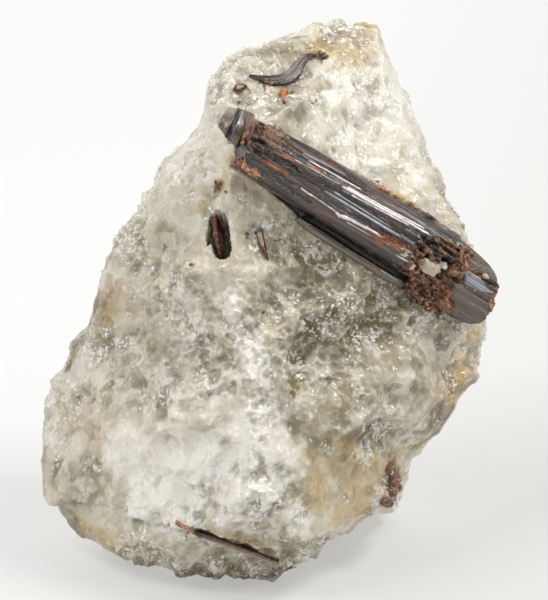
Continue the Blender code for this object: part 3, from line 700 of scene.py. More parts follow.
# Of these kinds, the pale and blue strokes are painted highlights and painted reflections
STROKE_KINDS = ("black", "pale", "blue", "red", "rust", "grey", "orange", "skin")
print(len(PRISM_STROKES), "strokes on the big prism")

# %% The big prism's top, with its broken zone


def prism_crown(share, across, part, flat):
    """Height of the big crystal's top, and its masks: crown, lines, strokes, then the broken zone."""
    in_block = smooth_step((share - BLOCK_FROM) / (BLOCK_FULL - BLOCK_FROM))
    bent = across + 0.06 * noise(flat, 4.0, 81)
    (height,), (of_block,) = columns_at(PRISM_CROWN, bent), columns_at(BLOCK_CROWN, bent)
    height = height + in_block * (of_block - height)
    wide, fine = striation(flat, 0.42, 14.0, 82), striation(flat, 0.17, 7.0, 83)
    height = height + 0.13 * wide + 0.06 * fine
    values = {kind: np.zeros(len(share)) for kind in STROKE_KINDS}
    for kind, first, last, half_width, rise, strength in PRISM_STROKES:
        fray = FRAY * (0.3 if kind in ("pale", "blue") else 1)
        mask = stroke_mask(share, bent, (first, last), half_width, PRISM_LENGTH, flat, fray=fray)
        height = height + rise * mask
        values[kind] = np.maximum(values[kind], strength * mask)
    ragged_share = share + 0.02 * fractal(flat / (1, 0.5, 1), 1.5, 84, 3)
    broken = smooth_step((ragged_share - BREAK_FROM) / 0.03) * smooth_step((BREAK_TO - ragged_share) / 0.02)
    broken = broken * smooth_step((2.6 - across + 8 * (share - 0.72)) / 0.8)
    woody = smooth_step((0.07 - ragged_share) / 0.02) * smooth_step((across + 1.0) / 0.6)
    rough = scoops(flat * (1, 1, 0), 1.1, 0.5, 0.3, 85) + scoops(flat * (1, 1.6, 0), 0.5, 0.22, 0.4, 86)
    plates = 0.25 * np.sign(striation(flat, 0.3, 1.6, 87))
    height = height + broken * (rough + plates - 0.15) + woody * (plates * 0.8 + 0.5 * rough - 0.3)
    end = smooth_step((share + 0.006 * noise(flat, 0.6, 91) - 0.978) / 0.01)
    for kind, mask in (
        ("rust", broken * smooth_step(fractal(flat, 1.6, 88, 3) + 0.45 - 0.25 * across)),
        ("black", broken * smooth_step(0.6 + fractal(flat, 1.1, 89, 3)) * 0.9),
        ("rust", woody * smooth_step(0.55 + fractal(flat, 1.0, 90, 3)) * 0.45),
        ("rust", end * 0.9),
    ):
        values[kind] = np.maximum(values[kind], mask)
    values["tone"] = smooth_step(0.5 + 0.5 * wide + 0.35 * fine)
    values["rough"] = np.maximum(np.maximum(broken, woody), end)
    for kind in ("pale", "blue"):
        values[kind] = values[kind] * (1 - 0.8 * broken)
    return height, values


prism_path = [PRISM_START - ALONG * 0.6, PRISM_START + ALONG * PRISM_LENGTH]
bar = bar_mesh(prism_path, OUTWARD, PRISM_SIDES, prism_crown, -2.6, (520, 104), 0.4, 3, -0.3)
prism = new_piece("big_rutile_prism", bar[0], bar[1], "rutile", ("rutile_prism",), bar[2])

# %% [markdown]
# ## The smaller crystals
# The same bar makes the blade under the big prism, the short prism beside its end and the thin crystals that
# lie in the broken faces. Each has a path, its sides, a crown given by shares of its width, and strokes.

# %% Crowns of small bars


def small_crown(knots, length, line_height, strokes, seed):
    """A crown for bar_mesh: height by share of the width, plus lines and strokes placed by those shares."""

    def crown(share, across, part, flat):
        wide, fine = striation(flat, 0.3, 6.0, seed), striation(flat, 0.13, 4.0, seed + 1)
        height = columns_at(knots, part)[0] + line_height * (wide + 0.5 * fine)
        values = {kind: np.zeros(len(share)) for kind in STROKE_KINDS}
        for kind, first, last, half_width, rise, strength in strokes:
            mask = stroke_mask(share, part, (first, last), half_width, length, flat, 0.08, 2.0)
            height = height + rise * mask
            values[kind] = np.maximum(values[kind], strength * mask)
        values["tone"] = smooth_step(0.5 + 0.5 * wide + 0.35 * fine)
        values["rough"] = np.full(len(share), 0.35)
        return height, values

    return crown


# %% Paths over the stone


def facing_at(right, up, span=2.0):
    """The way the stone looks at (right, up): the cross product of two short steps over its surface."""
    to_right = on_stone(right + span, up) - on_stone(right - span, up)
    to_top = on_stone(right, up + span) - on_stone(right, up - span)
    return unit(np.cross(to_right, to_top))


print("the stone under the bent blade looks along", facing_at(1.0, 29.5).round(2))
PATH_POINTS = 33
SIDE_SHARE = 0.7  # how far out to a bar's sides the stone below it is measured


def riding_path(points, sides, lift):
    """A path over the stone, seen at the given points, and the way it faces.

    The stone's greatest height under the bar's middle and sides is fitted by a parabola over the share. A
    place seen at `lateral` has the wanted height along `facing` when it is (wanted - lateral) / (facing_z -
    lateral / distance) nearer."""
    points, known, share = np.array(points), way_along(points), np.linspace(0, 1, PATH_POINTS)
    dense = np.stack([np.interp(share * known[-1], known, points[:, axis]) for axis in (0, 1)], -1)
    dense[1:-1] = (dense[:-2] + dense[1:-1] + dense[2:]) / 3
    facing = unit(0.5 * facing_at(*points.mean(0)) + (0, 0, 1))
    normal = unit(np.gradient(dense, axis=0)) @ np.array(((0, 1), (-1, 0)))
    middle = np.array([on_stone(*point) for point in dense])
    heights = [middle @ facing]
    for reach in columns_at(sides, share):
        beside = dense + normal * (reach[:, None] * SIDE_SHARE)
        heights.append(np.array([on_stone(*point) for point in beside]) @ facing)
    wanted = np.polyval(np.polyfit(share, np.max(heights, axis=0), 2), share) + lift
    lateral = dense @ facing[:2]
    near = (wanted - lateral) / (facing[2] - lateral / VIEW_DISTANCE)
    return np.array([seen(*point, depth) for point, depth in zip(dense, near)]), facing


# %% [markdown]
# A crystal that grew in the quartz fills its own seat, so grain must not poke through it. The stone's places
# under each path are lowered, which leaves the rest of the mesh as it is and needs no Boolean.

# %% Seats for the crystals
SEAT_DEPTH = 0.12  # how far the stone stays below a crystal's path
SEAT_MARGIN = 0.6  # beside the crystal, where the stone may rise by as much as it is away from it
SEAT_REACH = 1.8  # the tallest bump that is lowered
SEAT_SHADE = 0.85


def seat_drops(path, facing, sides):
    """How far the stone's places move down along `facing`, to stay below the bar and its margin."""
    known = way_along(path) / way_along(path)[-1]
    drop = np.zeros(len(stone_places))
    for number, start in enumerate(path[:-1]):
        step = path[number + 1] - start
        offset = stone_places - start
        part = offset @ step / (step @ step)
        share = known[number] + part.clip(0, 1) * (known[number + 1] - known[number])
        low, high = columns_at(sides, share)
        across = offset @ unit(np.cross(facing, step))
        height = (offset - part.clip(0, 1)[:, None] * step) @ facing
        outside = past(across, low, high)
        inside = (np.abs(part - 0.5) < 0.55) & (outside < SEAT_MARGIN) & (np.abs(height) < SEAT_REACH)
        drop = np.where(inside, np.maximum(drop, height + SEAT_DEPTH - outside), drop)
    return drop


# %% The blade under the big prism, in the prism's own axes
BLADE_SHARES = (0.285, 0.725)
BLADE_SIDES = ((0.0, -0.2, 1.4), (0.12, -0.5, 1.6), (0.5, -0.75, 1.7), (0.85, -0.75, 1.7), (1.0, -0.4, 1.6))
BLADE_ACROSS, BLADE_HEIGHT = -4.95, -0.1
BLADE_CROWN = ((0, -0.4), (0.04, 0.15), (0.3, 0.4), (0.46, 0.25), (0.5, -0.2), (0.53, -1.0), (1, -1.2))
BLADE_STROKES = (
    ("grey", (0.0, 0.2), (1.0, 0.2), 0.3, 0.0, 0.8),
    ("black", (0.1, 0.36), (0.7, 0.36), 0.02, -0.05, 0.8),
    ("blue", (0.78, 0.42), (0.97, 0.4), 0.09, 0.0, 0.5),
    ("red", (0.72, 0.3), (0.78, 0.3), 0.1, 0.0, 0.5),
    # Painted shade: the blade's sunken high side, under the big prism, is painted black to fill the gap
    # between them
    ("black", (-0.1, 0.8), (1.1, 0.8), 0.27, 0.0, 1.0),
)
blade_ends = [
    PRISM_START + ALONG * PRISM_LENGTH * share + ACROSS * BLADE_ACROSS + OUTWARD * BLADE_HEIGHT
    for share in BLADE_SHARES
]
blade_length = PRISM_LENGTH * (BLADE_SHARES[1] - BLADE_SHARES[0])
crown = small_crown(BLADE_CROWN, blade_length, 0.05, BLADE_STROKES, 101)
bar = bar_mesh(blade_ends, OUTWARD, BLADE_SIDES, crown, -2.4, (240, 40), 0.3, 4)
small_rutile = [new_piece("lower_rutile_blade", bar[0], bar[1], "rutile", ("rutile_prism",), bar[2])]

# %% Short prism and thin crystals
PIT_NEAR = on_stone(-8.8, 8.2)[2] - 0.6  # a little below the pit's left edge
# Name, node, slot, seen path, lift, sides, crown, floor, shear, line height, cells, strokes. Two numbers of a
# path are right and up, and a third is near.
SMALL_BARS = (
    ("short_rutile_prism", "rutile_stub", "rutile", ((-6.0, 21.0), (-4.3, 24.6)), 0.2,
     ((0.0, -1.85, 1.85), (1.0, -1.85, 1.8)),
     ((0, 0.1), (0.05, 0.9), (0.33, 1.35), (0.38, 1.1), (0.47, 1.05), (0.5, 1.5), (0.92, 1.35), (1, 0.3)),
     -1.5, 0.37, 0.03, (70, 64),
     (("blue", (0.1, 0.3), (0.95, 0.33), 0.03, 0.03, 0.6),
      ("black", (0.0, 0.42), (1.0, 0.43), 0.07, 0.0, 1.0), ("red", (0.3, 0.97), (1.0, 0.96), 0.06, 0.0, 0.6),
      ("rust", (0.0, 0.2), (0.02, 0.9), 0.3, 0.0, 0.7),
      ("grey", (0.0, 0.7), (1.0, 0.7), 0.22, 0.0, 0.9), ("grey", (0.0, 0.15), (1.0, 0.15), 0.14, 0.0, 0.9))),
    ("bent_rutile_blade", "rutile_bent_blade", "rutile",
     ((-3.1, 29.1), (-1.6, 28.8), (-0.5, 28.6), (0.8, 28.7), (1.9, 29.0), (2.7, 29.7), (3.4, 30.8),
      (4.1, 31.5), (4.7, 31.7), (5.4, 31.6)), 0.1,
     ((0.0, -0.08, 0.12), (0.12, -0.45, 0.4), (0.27, -0.85, 0.7), (0.4, -1.05, 0.8), (0.52, -1.0, 0.8),
      (0.66, -0.8, 0.7), (0.8, -0.6, 0.6), (0.92, -0.45, 0.45), (1.0, -0.2, 0.2)),
     ((0, -0.2), (0.12, 0.3), (0.5, 0.45), (0.62, 0.35), (0.9, 0.4), (1, -0.2)), -0.4, 0.0, 0.05, (160, 26),
     (("rust", (0.16, 0.4), (0.22, 0.3), 0.25, 0.0, 0.7), ("black", (0.0, 0.9), (0.4, 0.9), 0.12, 0.0, 1.0),
      ("black", (0.3, 0.5), (0.55, 0.45), 0.42, 0.0, 0.8),
      ("black", (0.86, 0.5), (1.0, 0.5), 0.4, 0.0, 0.6))),
    ("rutile_needle_bar", "rutile_needle", "rutile",
     ((-12.7, -29.1), (-9.9, -30.3), (-5.0, -32.1), (0.5, -34.1)), 0.3,
     ((0.0, -0.08, 0.1), (0.18, -0.25, 0.28), (0.23, -0.45, 0.42), (0.35, -0.42, 0.4), (1.0, -0.45, 0.42)),
     ((0, -0.2), (0.15, 0.4), (0.5, 0.55), (0.85, 0.45), (1, -0.2)), -1.0, 0.0, 0.03, (150, 22),
     (("rust", (0.0, 0.5), (0.17, 0.5), 0.6, 0.0, 1.0), ("black", (0.2, 0.5), (0.24, 0.5), 0.6, 0.12, 0.9),
      ("skin", (0.28, 0.3), (1.0, 0.3), 0.4, 0.0, 0.4), ("red", (0.3, 0.8), (0.9, 0.8), 0.15, 0.0, 0.3))),
    ("rutile_flake_plate", "rutile_flake", "red_rutile", ((-5.15, 27.3), (-3.65, 27.75)), 0.3,
     ((0.0, -0.05, 0.05), (0.45, -0.2, 1.05), (1.0, -0.1, 0.12)),
     ((0, -0.2), (0.15, 0.35), (0.5, 0.25), (0.85, 0.4), (1, -0.2)), -0.9, 0.0, 0.02, (40, 24),
     (("skin", (0.35, 0.45), (0.75, 0.45), 0.3, -0.05, 1.0),
      ("black", (0.0, 0.95), (1.0, 0.95), 0.08, 0.0, 0.5))),
    ("rutile_spike_plate", "rutile_spike", "red_rutile", ((1.35, 27.3), (1.15, 25.8)), 0.3,
     ((0.0, -0.5, 0.45), (0.4, -0.35, 0.3), (1.0, -0.05, 0.05)),
     ((0, -0.2), (0.2, 0.3), (0.6, 0.4), (0.85, 0.25), (1, -0.2)), -0.8, 0.0, 0.02, (40, 22),
     (("orange", (0.0, 0.5), (0.8, 0.5), 0.6, 0.0, 1.0), ("black", (0.98, 0.5), (1.0, 0.5), 0.3, 0.0, 0.8))),
    ("rutile_sliver_plate", "rutile_sliver", "red_rutile", ((-1.95, 9.0), (-1.55, 7.6), (-0.8, 5.3)), 0.25,
     ((0.0, -0.6, 0.65), (0.12, -0.5, 0.55), (0.5, -0.35, 0.4), (1.0, -0.06, 0.06)),
     ((0, -0.2), (0.15, 0.35), (0.6, 0.3), (0.85, 0.4), (1, -0.2)), -0.9, 0.0, 0.03, (60, 22),
     (("black", (0.0, 0.5), (0.01, 0.5), 0.3, 0.05, 0.7), ("skin", (0.1, 0.45), (0.5, 0.4), 0.32, 0.0, 1.0),
      ("black", (0.6, 0.3), (0.8, 0.5), 0.1, 0.0, 0.6))),
    ("rutile_pit_plate", "rutile_pit_grain", "red_rutile",
     ((-7.55, 10.9, PIT_NEAR), (-7.35, 8.4, PIT_NEAR), (-7.0, 5.6, PIT_NEAR)), 0.0,
     ((0.0, -0.75, 0.6), (0.1, -0.85, 0.75), (0.9, -0.75, 0.75), (1.0, -0.6, 0.6)),
     ((0, -0.3), (0.15, 0.1), (0.4, 0.35), (0.6, 0.3), (0.66, -0.1), (1, -0.6)), -1.6, 0.0, 0.08, (70, 30),
     (("black", (0.0, 0.1), (1.0, 0.1), 0.12, 0.0, 0.9), ("rust", (0.4, 0.6), (1.0, 0.6), 0.3, 0.0, 0.7))),
)  # fmt: skip

# %% Each in its seat
for name, node, slot, points, lift, sides, knots, floor, shear, line_height, cells, strokes in SMALL_BARS:
    if len(points[0]) == 3:
        path, facing = np.array([seen(*point) for point in points]), np.array((0, 0, 1.0))
    else:
        path, facing = riding_path(points, sides, lift)
    drop = seat_drops(path, facing, sides)
    stone_places = stone_places - drop[:, None] * facing
    # Painted shade on the stone where it is lowered into a seat beside a crystal
    stone_painted_shade = np.maximum(stone_painted_shade, SEAT_SHADE * smooth_step((drop - 0.15) / 0.6))
    crown = small_crown(knots, way_along(path)[-1], line_height, strokes, 110 + len(small_rutile))
    bar = bar_mesh(path, facing, sides, crown, floor, cells, 0.25, 7, shear)
    small_rutile.append(new_piece(name, bar[0], bar[1], slot, (node,), bar[2]))

# %% The lump's mesh, with a seat under each thin crystal
masks = dict(
    white=white, smoke_and_rim_shade=smoke_and_rim_shade, iron=iron, rust=rust, grain=stone_grain, sunk=stone_sunk, painted_shade=stone_painted_shade
)
lump = ("milky_quartz_lump", stone_places, [quads], "milky_quartz", ("quartz_matrix",), masks)
stone = new_piece(*lump, flat=True)

# %% [markdown]
# ## Grains, crumbs and specks
# The break in the big prism holds pale grains of quartz and a pitted crust of rust, and specks of rutile dot
# the quartz. Each is an angular pebble: a small sphere whose radius is trimmed by a few random planes.

# %% Pebbles
PEBBLE_ROUGHNESS = 0.16
PEBBLE_PLANES = 14
GRAIN_CELLS, CRUMB_CELLS = 8, 4


def pebble(centre, axes, radii, seed, cells):
    """Places and quads of a pebble: reach = least over random planes of d / cosine, then stretched."""
    draw = np.random.default_rng(seed)
    directions, quads = cube_sphere(cells)
    planes = unit(draw.normal(size=(PEBBLE_PLANES, 3)))
    cosine = np.maximum(directions @ planes.T, 0.05)  # a plane facing away doesn't cut
    reach = np.minimum((draw.uniform(0.62, 0.95, PEBBLE_PLANES) / cosine).min(1), 1.15)
    reach = reach * (1 + PEBBLE_ROUGHNESS * fractal(directions * 2 + seed, 1.0, seed, 3))
    return centre + (directions * reach[:, None] * radii) @ axes, quads


def pebbles(name, slot, rows, cells, **masks):
    """One piece from rows of centre, axes, radii, seed: their places and faces one after another."""
    all_places, all_quads, count = [], [], 0
    for row in rows:
        places, quads = pebble(*row, cells)
        all_places.append(places)
        all_quads.append(quads + count)
        count += len(places)
    each = count // len(rows)
    values = {key: np.repeat(np.broadcast_to(mask, len(rows)), each) for key, mask in masks.items()}
    places = np.concatenate(all_places)
    values["along"] = places
    return new_piece(name, places, [np.concatenate(all_quads)], slot, (), values, flat=True)


def beside_prism(share, across, outward):
    """The place at those coordinates of the big crystal's axis."""
    return PRISM_START + ALONG * PRISM_LENGTH * share + ACROSS * across + OUTWARD * outward


# %% Grains of quartz in the break
PRISM_AXES = np.stack((ALONG, ACROSS, OUTWARD))
# Share, across, outward, then half length, half width, half height
GRAINS = ((0.648, -1.3, 2.25, 1.0, 0.7, 0.6), (0.752, -1.0, 2.45, 1.5, 1.05, 0.8),
          (0.78, -0.1, 2.5, 0.8, 0.55, 0.6), (0.93, 1.65, 3.0, 0.7, 0.35, 0.3),
          (0.70, -2.3, 1.8, 0.5, 0.4, 0.5))  # fmt: skip
GRAIN_SEED = 130
rows = [(beside_prism(*row[:3]), PRISM_AXES, row[3:], GRAIN_SEED + i) for i, row in enumerate(GRAINS)]
rows.append((on_stone(-2.7, 22.7) + OUTWARD * 0.2, PRISM_AXES, (0.55, 0.45, 0.5), GRAIN_SEED + 9))
masks = dict(white=0.2, smoke_and_rim_shade=0.25, grain=0.6, iron=0.45)
grains = pebbles("quartz_grains", "milky_quartz", rows, GRAIN_CELLS, **masks)

# %% Crust of rust
CRUST_SEED = 140
CRUST_COUNT = 380
# Where crumbs gather: middle share, across, outward, their spread in each, and their part of the count
HEAPS = (
    ((0.79, -4.7, 0.5), (0.035, 0.75, 0.35), 0.55),
    ((0.835, 1.6, 2.6), (0.012, 1.1, 0.25), 0.22),
    ((0.76, -2.4, 1.9), (0.025, 0.7, 0.25), 0.13),
    ((0.69, 0.0, 2.4), (0.03, 0.8, 0.2), 0.05),
    ((0.005, -2.9, 1.1), (0.01, 0.35, 0.3), 0.05),
    ((-0.022, 1.0, 1.0), (0.006, 1.0, 0.25), 0.08),
)
draw = np.random.default_rng(CRUST_SEED)
rows, crumb_shares = [], []


def add_crumb(place, radii, share=0.0):
    """Notes one crumb and its share of the big crystal's length; its row number is its seed."""
    rows.append((place, PRISM_AXES, radii, len(rows)))
    crumb_shares.append(share)


for middle, spread, part in HEAPS:
    for _ in range(int(CRUST_COUNT * part)):
        place = np.array(middle) + np.array(spread) * draw.normal(size=3).clip(-1.6, 1.6)
        add_crumb(beside_prism(*place), draw.uniform(0.14, 0.34, 3) * draw.uniform(0.7, 1.7), place[0])
# Crumbs along the upper contact and larger lumps in the break: share, across, outward, radius
for share, across, outward, radius in (
    (0.43, 3.7, 1.2, 0.3), (0.44, 3.85, 1.2, 0.4), (0.455, 3.9, 1.1, 0.35), (0.47, 4.0, 1.0, 0.4),
    (0.485, 4.05, 1.0, 0.35), (0.5, 4.15, 0.9, 0.3), (0.53, 4.2, 0.8, 0.25), (0.66, 4.25, 1.0, 0.4),
    (0.675, 4.3, 0.9, 0.45), (0.69, 4.3, 0.9, 0.3), (0.83, 2.7, 2.2, 0.6), (0.84, 1.1, 2.7, 0.5),
    (0.77, -2.8, 1.8, 0.6), (0.79, -2.2, 2.0, 0.5), (0.75, -3.2, 1.4, 0.5), (0.80, -4.9, 0.4, 0.6),
):  # fmt: skip
    add_crumb(beside_prism(share, across, outward), (radius, radius * 0.8, radius * 0.7), share)
# Rusty lumps at the rear right foot: right, up, radius
for right, up, radius in (
    (14.8, -21.9, 0.9), (15.6, -23.2, 1.1), (15.2, -24.8, 1.0), (14.7, -26.3, 0.9), (16.0, -24.4, 0.7),
):  # fmt: skip
    add_crumb(on_stone(right, up), (radius, radius, radius * 0.8))
hue, tone, pick = draw.random((3, len(rows)))
amber = np.array([0.8 * (0.4 < share < 0.55) for share in crumb_shares])
crust = pebbles(
    "rust_crust",
    "rutile",
    rows,
    CRUMB_CELLS,
    rust=(0.3 + 0.7 * hue) * (pick > 0.2),
    rough=1.0,
    tone=tone,
    orange=np.maximum(amber, 0.7 * (pick > 0.86)),
)

# %% Specks
# Right, up, half length, half width
SPECKS = ((-4.6, 25.7, 0.28, 0.22), (5.0, 25.6, 0.3, 0.12), (5.5, 25.9, 0.14, 0.2), (0.2, 7.7, 0.4, 0.16),
          (0.7, 7.9, 0.25, 0.2), (-3.5, 8.4, 0.3, 0.5), (-10.8, 4.6, 0.3, 0.25), (-1.4, -1.6, 0.2, 0.2),
          (2.4, 27.0, 0.4, 0.2), (-0.3, 28.2, 0.3, 0.2), (13.4, 15.5, 0.5, 0.06), (18.5, 11.0, 0.2, 0.15),
          (-6.2, 14.1, 0.35, 0.2), (-7.6, 15.3, 0.2, 0.3))  # fmt: skip
SPECK_SEED, SPECK_HEIGHT = 210, 0.25
rows = [
    (on_stone(*row[:2]), np.eye(3), (*row[2:], SPECK_HEIGHT), SPECK_SEED + number)
    for number, row in enumerate(SPECKS)
]
specks = pebbles("rutile_specks", "rutile", rows, CRUMB_CELLS, black=0.3, rust=0.6)

# %% [markdown]
# ## Materials
# A node tree drawn by hand soon tangles. A small class wraps a socket instead, so that masks and noises are
# added, multiplied and mixed like numbers, and a finish reads like a formula.

# %% Sockets as numbers


class Wire:
    """A socket of a node tree. Sums, differences and products of wires and numbers add Math nodes."""

    def __init__(self, tree, socket):
        self.tree, self.socket = tree, socket

    def node(self, kind, settings=None, inputs=None, output=0):
        """A new node of the kind with its settings first, then the values or links of its sockets."""
        made = self.tree.nodes.new(kind)
        for name, value in (settings or {}).items():
            setattr(made, name, value)
        for key, value in (inputs or {}).items():
            if isinstance(value, Wire):
                self.tree.links.new(value.socket, made.inputs[key])
            else:
                made.inputs[key].default_value = value
        return Wire(self.tree, made.outputs[output])

    def maths(self, operation, *terms):
        """A Math node on the terms, wires or numbers."""
        return self.node("ShaderNodeMath", {"operation": operation}, dict(enumerate(terms)))

    def __add__(self, other):
        return self.maths("ADD", self, other)

    def __sub__(self, other):
        return self.maths("SUBTRACT", self, other)

    def __rsub__(self, other):
        return self.maths("SUBTRACT", other, self)

    def __mul__(self, other):
        return self.maths("MULTIPLY", self, other)

    __radd__, __rmul__ = __add__, __mul__

    def clipped(self):
        """The value kept between 0 and 1."""
        return self.node("ShaderNodeClamp", inputs={0: self})

    def value_of(self, name, output=2):
        """The mesh attribute of that name: output 2 is its value, 1 its vector."""
        return self.node("ShaderNodeAttribute", {"attribute_name": name}, output=output)

    def vectors(self, operation, *terms, output=0):
        """A Vector Math node on the terms."""
        return self.node("ShaderNodeVectorMath", {"operation": operation}, dict(enumerate(terms)), output)

    def mixed(self, factor, first, second):
        """A colour between first, at factor 0, and second, at factor 1."""
        return self.node("ShaderNodeMix", {"data_type": "RGBA"}, {0: factor, 6: first, 7: second}, 2)

    def cloudy(self, scale, detail, roughness=0.5, output=0):
        """Noise Texture at this place: output 0 is its value, 1 its colour."""
        inputs = {"Vector": self, "Scale": scale, "Detail": detail, "Roughness": roughness}
        return self.node("ShaderNodeTexNoise", inputs=inputs, output=output)

    def as_bump(self):
        """The normal of a surface raised by this height, in metres."""
        return self.node("ShaderNodeBump", inputs={"Strength": 1.0, "Distance": 1.0, "Height": self})


# %% A material and its links


def new_material(name, constants):
    """A material whose Principled shader holds the constants: it, its shader and the object's own place."""
    made = bpy.data.materials.new(name)
    made.use_nodes = True
    shader = made.node_tree.nodes["Principled BSDF"]
    for key, value in constants.items():
        shader.inputs[key].default_value = value
    start = Wire(made.node_tree, made.node_tree.nodes.new("ShaderNodeTexCoord").outputs["Object"])
    return made, shader, start


def connect(shader, **sockets):
    """Links wires to the shader's sockets; an underscore in a name stands for a space."""
    for key, wire in sockets.items():
        wire.tree.links.new(wire.socket, shader.inputs[key.replace("_", " ")])


def tilted_cells(place, scale):
    """Height of planes that tilt at random, one for each Voronoi cell, and the cell's random number."""
    colour = place.node("ShaderNodeTexVoronoi", inputs={"Vector": place, "Scale": scale}, output="Color")
    position = Wire(place.tree, colour.socket.node.outputs["Position"])
    tilt = place.vectors("SUBTRACT", colour, (0.5, 0.5, 0.5))
    offset = place.vectors("SUBTRACT", place, position)
    height = place.vectors("DOT_PRODUCT", tilt, offset, output=1)
    return height, place.vectors("DOT_PRODUCT", colour, (0, 0, 1), output=1)


# %% [markdown]
# Quartz is translucent and breaks into tiny faces that glint one by one. A weak glow below the surface
# gives the body, and each cell of a Voronoi texture tilts the normal its own way for the glints. Among the
# crushed grains the brightest cells are also painted near white, as painted glints. Three sizes of cell are
# enough: chunks, coarse grains and fine grains. The mesh's masks choose between milk and smoke, and lay on
# painted shade in the deepest scoops, the groove, the pit, the seats and the undercut rims.

# %% Milky quartz
MILK = (0.65, 0.59, 0.465, 1)
CLEAR = (0.225, 0.188, 0.098, 1)
BRUISE = (0.93, 0.90, 0.81, 1)
PAINTED_GLINT = (1.0, 0.98, 0.93, 1)
# The next two colours are painted shade: the first for the deepest scoops, the second for the groove, the
# pit, the seats and the undercut rims
SHADE = (0.17, 0.145, 0.085, 1)
PAINTED_SHADE_COLOUR = (0.018, 0.011, 0.007, 1)
IRON_YELLOW = (0.56, 0.37, 0.14, 1)
RUST_BROWN = (0.16, 0.055, 0.02, 1)
BEND = 0.0009  # how far the chunks' edges wander, in metres
# Cells or waves for each metre
CHUNKS, COARSE_GRAINS, FINE_GRAINS = 380, 1050, 3100
CLOUDS, BENDS, CLUSTERS = 420, 700, 260
quartz, shader, place = new_material(
    "milky_quartz_finish",
    {
        "IOR": 1.54,
        "Subsurface Weight": 0.15,
        "Subsurface Radius": (1.0, 0.95, 0.85),
        "Subsurface Scale": 0.0005,
    },
)
cloud, cluster = place.cloudy(CLOUDS, 5.0, 0.65), place.cloudy(CLUSTERS, 3.0, 0.6)
bent = place.vectors("ADD", place, place.vectors("MULTIPLY", place.cloudy(BENDS, 3.0, output=1), (BEND,) * 3))
chunk_height, chunk_random = tilted_cells(bent, CHUNKS)
coarse_height, coarse_random = tilted_cells(place, COARSE_GRAINS)
fine_height, fine_random = tilted_cells(place, FINE_GRAINS)
grain, sunk = place.value_of("grain"), place.value_of("sunk")
milkiness = (cloud - 0.5) * 0.5 + (chunk_random - 0.5) * 0.55
tint = place.mixed((place.value_of("smoke_and_rim_shade") - milkiness).clipped(), MILK, CLEAR)
tint = place.mixed((place.value_of("white") + milkiness * 0.9).clipped(), tint, BRUISE)
tint = place.mixed((place.value_of("iron") * (cloud * 2.2 - 0.2)).clipped(), tint, IRON_YELLOW)
tint = place.mixed((place.value_of("rust") * (cloud * 2.8 - 0.4)).clipped(), tint, RUST_BROWN)
# Painted shade in the deepest fine scoops
tint = place.mixed((-1.1 - sunk).clipped() * 0.5, tint, SHADE)
rim = ((sunk + 0.42) * 1.8).clipped() * (cloud * 2.6 - 0.9).clipped()
tint = place.mixed(rim * 0.7, tint, BRUISE)
crushed = ((cluster - 0.52) * 8.0 + grain * 1.2 - 0.45).clipped()
# Painted glints: the brightest fine and coarse cells among crushed grains are painted near white
painted_glints = ((fine_random - 0.76) * 25.0).clipped() * 0.9 + ((coarse_random - 0.84) * 25.0).clipped() * 0.6
tint = place.mixed((painted_glints * crushed).clipped(), tint, PAINTED_GLINT)
# Painted shade in the groove, the pit, the seats and the undercut rims
tint = place.mixed(place.value_of("painted_shade") * 0.95, tint, PAINTED_SHADE_COLOUR)
relief = chunk_height * 0.6 + coarse_height * (crushed * 0.55 + 0.15) + fine_height * (crushed * 0.6 + 0.1)
connect(shader, Base_Color=tint, Roughness=coarse_random * 0.4 + 0.05, Normal=relief.as_bump())
for piece in (stone, grains):
    piece.data.materials.append(quartz)
print(len(quartz.node_tree.nodes), "nodes make the quartz")

# %% [markdown]
# Rutile is red-brown to black with a nearly metallic shine, and it is lined along its length. Noise drawn
# out along each bar's own coordinates gives those lines, so they follow a bend. The strokes' masks lay
# colours over them, among them painted highlights and painted reflections, rust takes away the shine, and
# painted glints dot the rust and the rough zones.

# %% Rutile
CHARCOAL, BLACK = (0.006, 0.005, 0.004, 1), (0.004, 0.005, 0.005, 1)
HORN, DEEP_RED, AMBER = (0.17, 0.135, 0.095, 1), (0.46, 0.085, 0.010, 1), (0.66, 0.22, 0.025, 1)
PAINTED_BLUE_REFLECTION, PAINTED_GLEAM, TAN = (0.48, 0.54, 0.58, 1), (1.0, 0.95, 0.93, 1), (0.55, 0.42, 0.32, 1)
RUST_DARK, RUST_BRIGHT = (0.06, 0.026, 0.015, 1), (0.86, 0.38, 0.17, 1)
LINE_RELIEF, RUST_RELIEF = 0.00004, 0.00012  # in metres


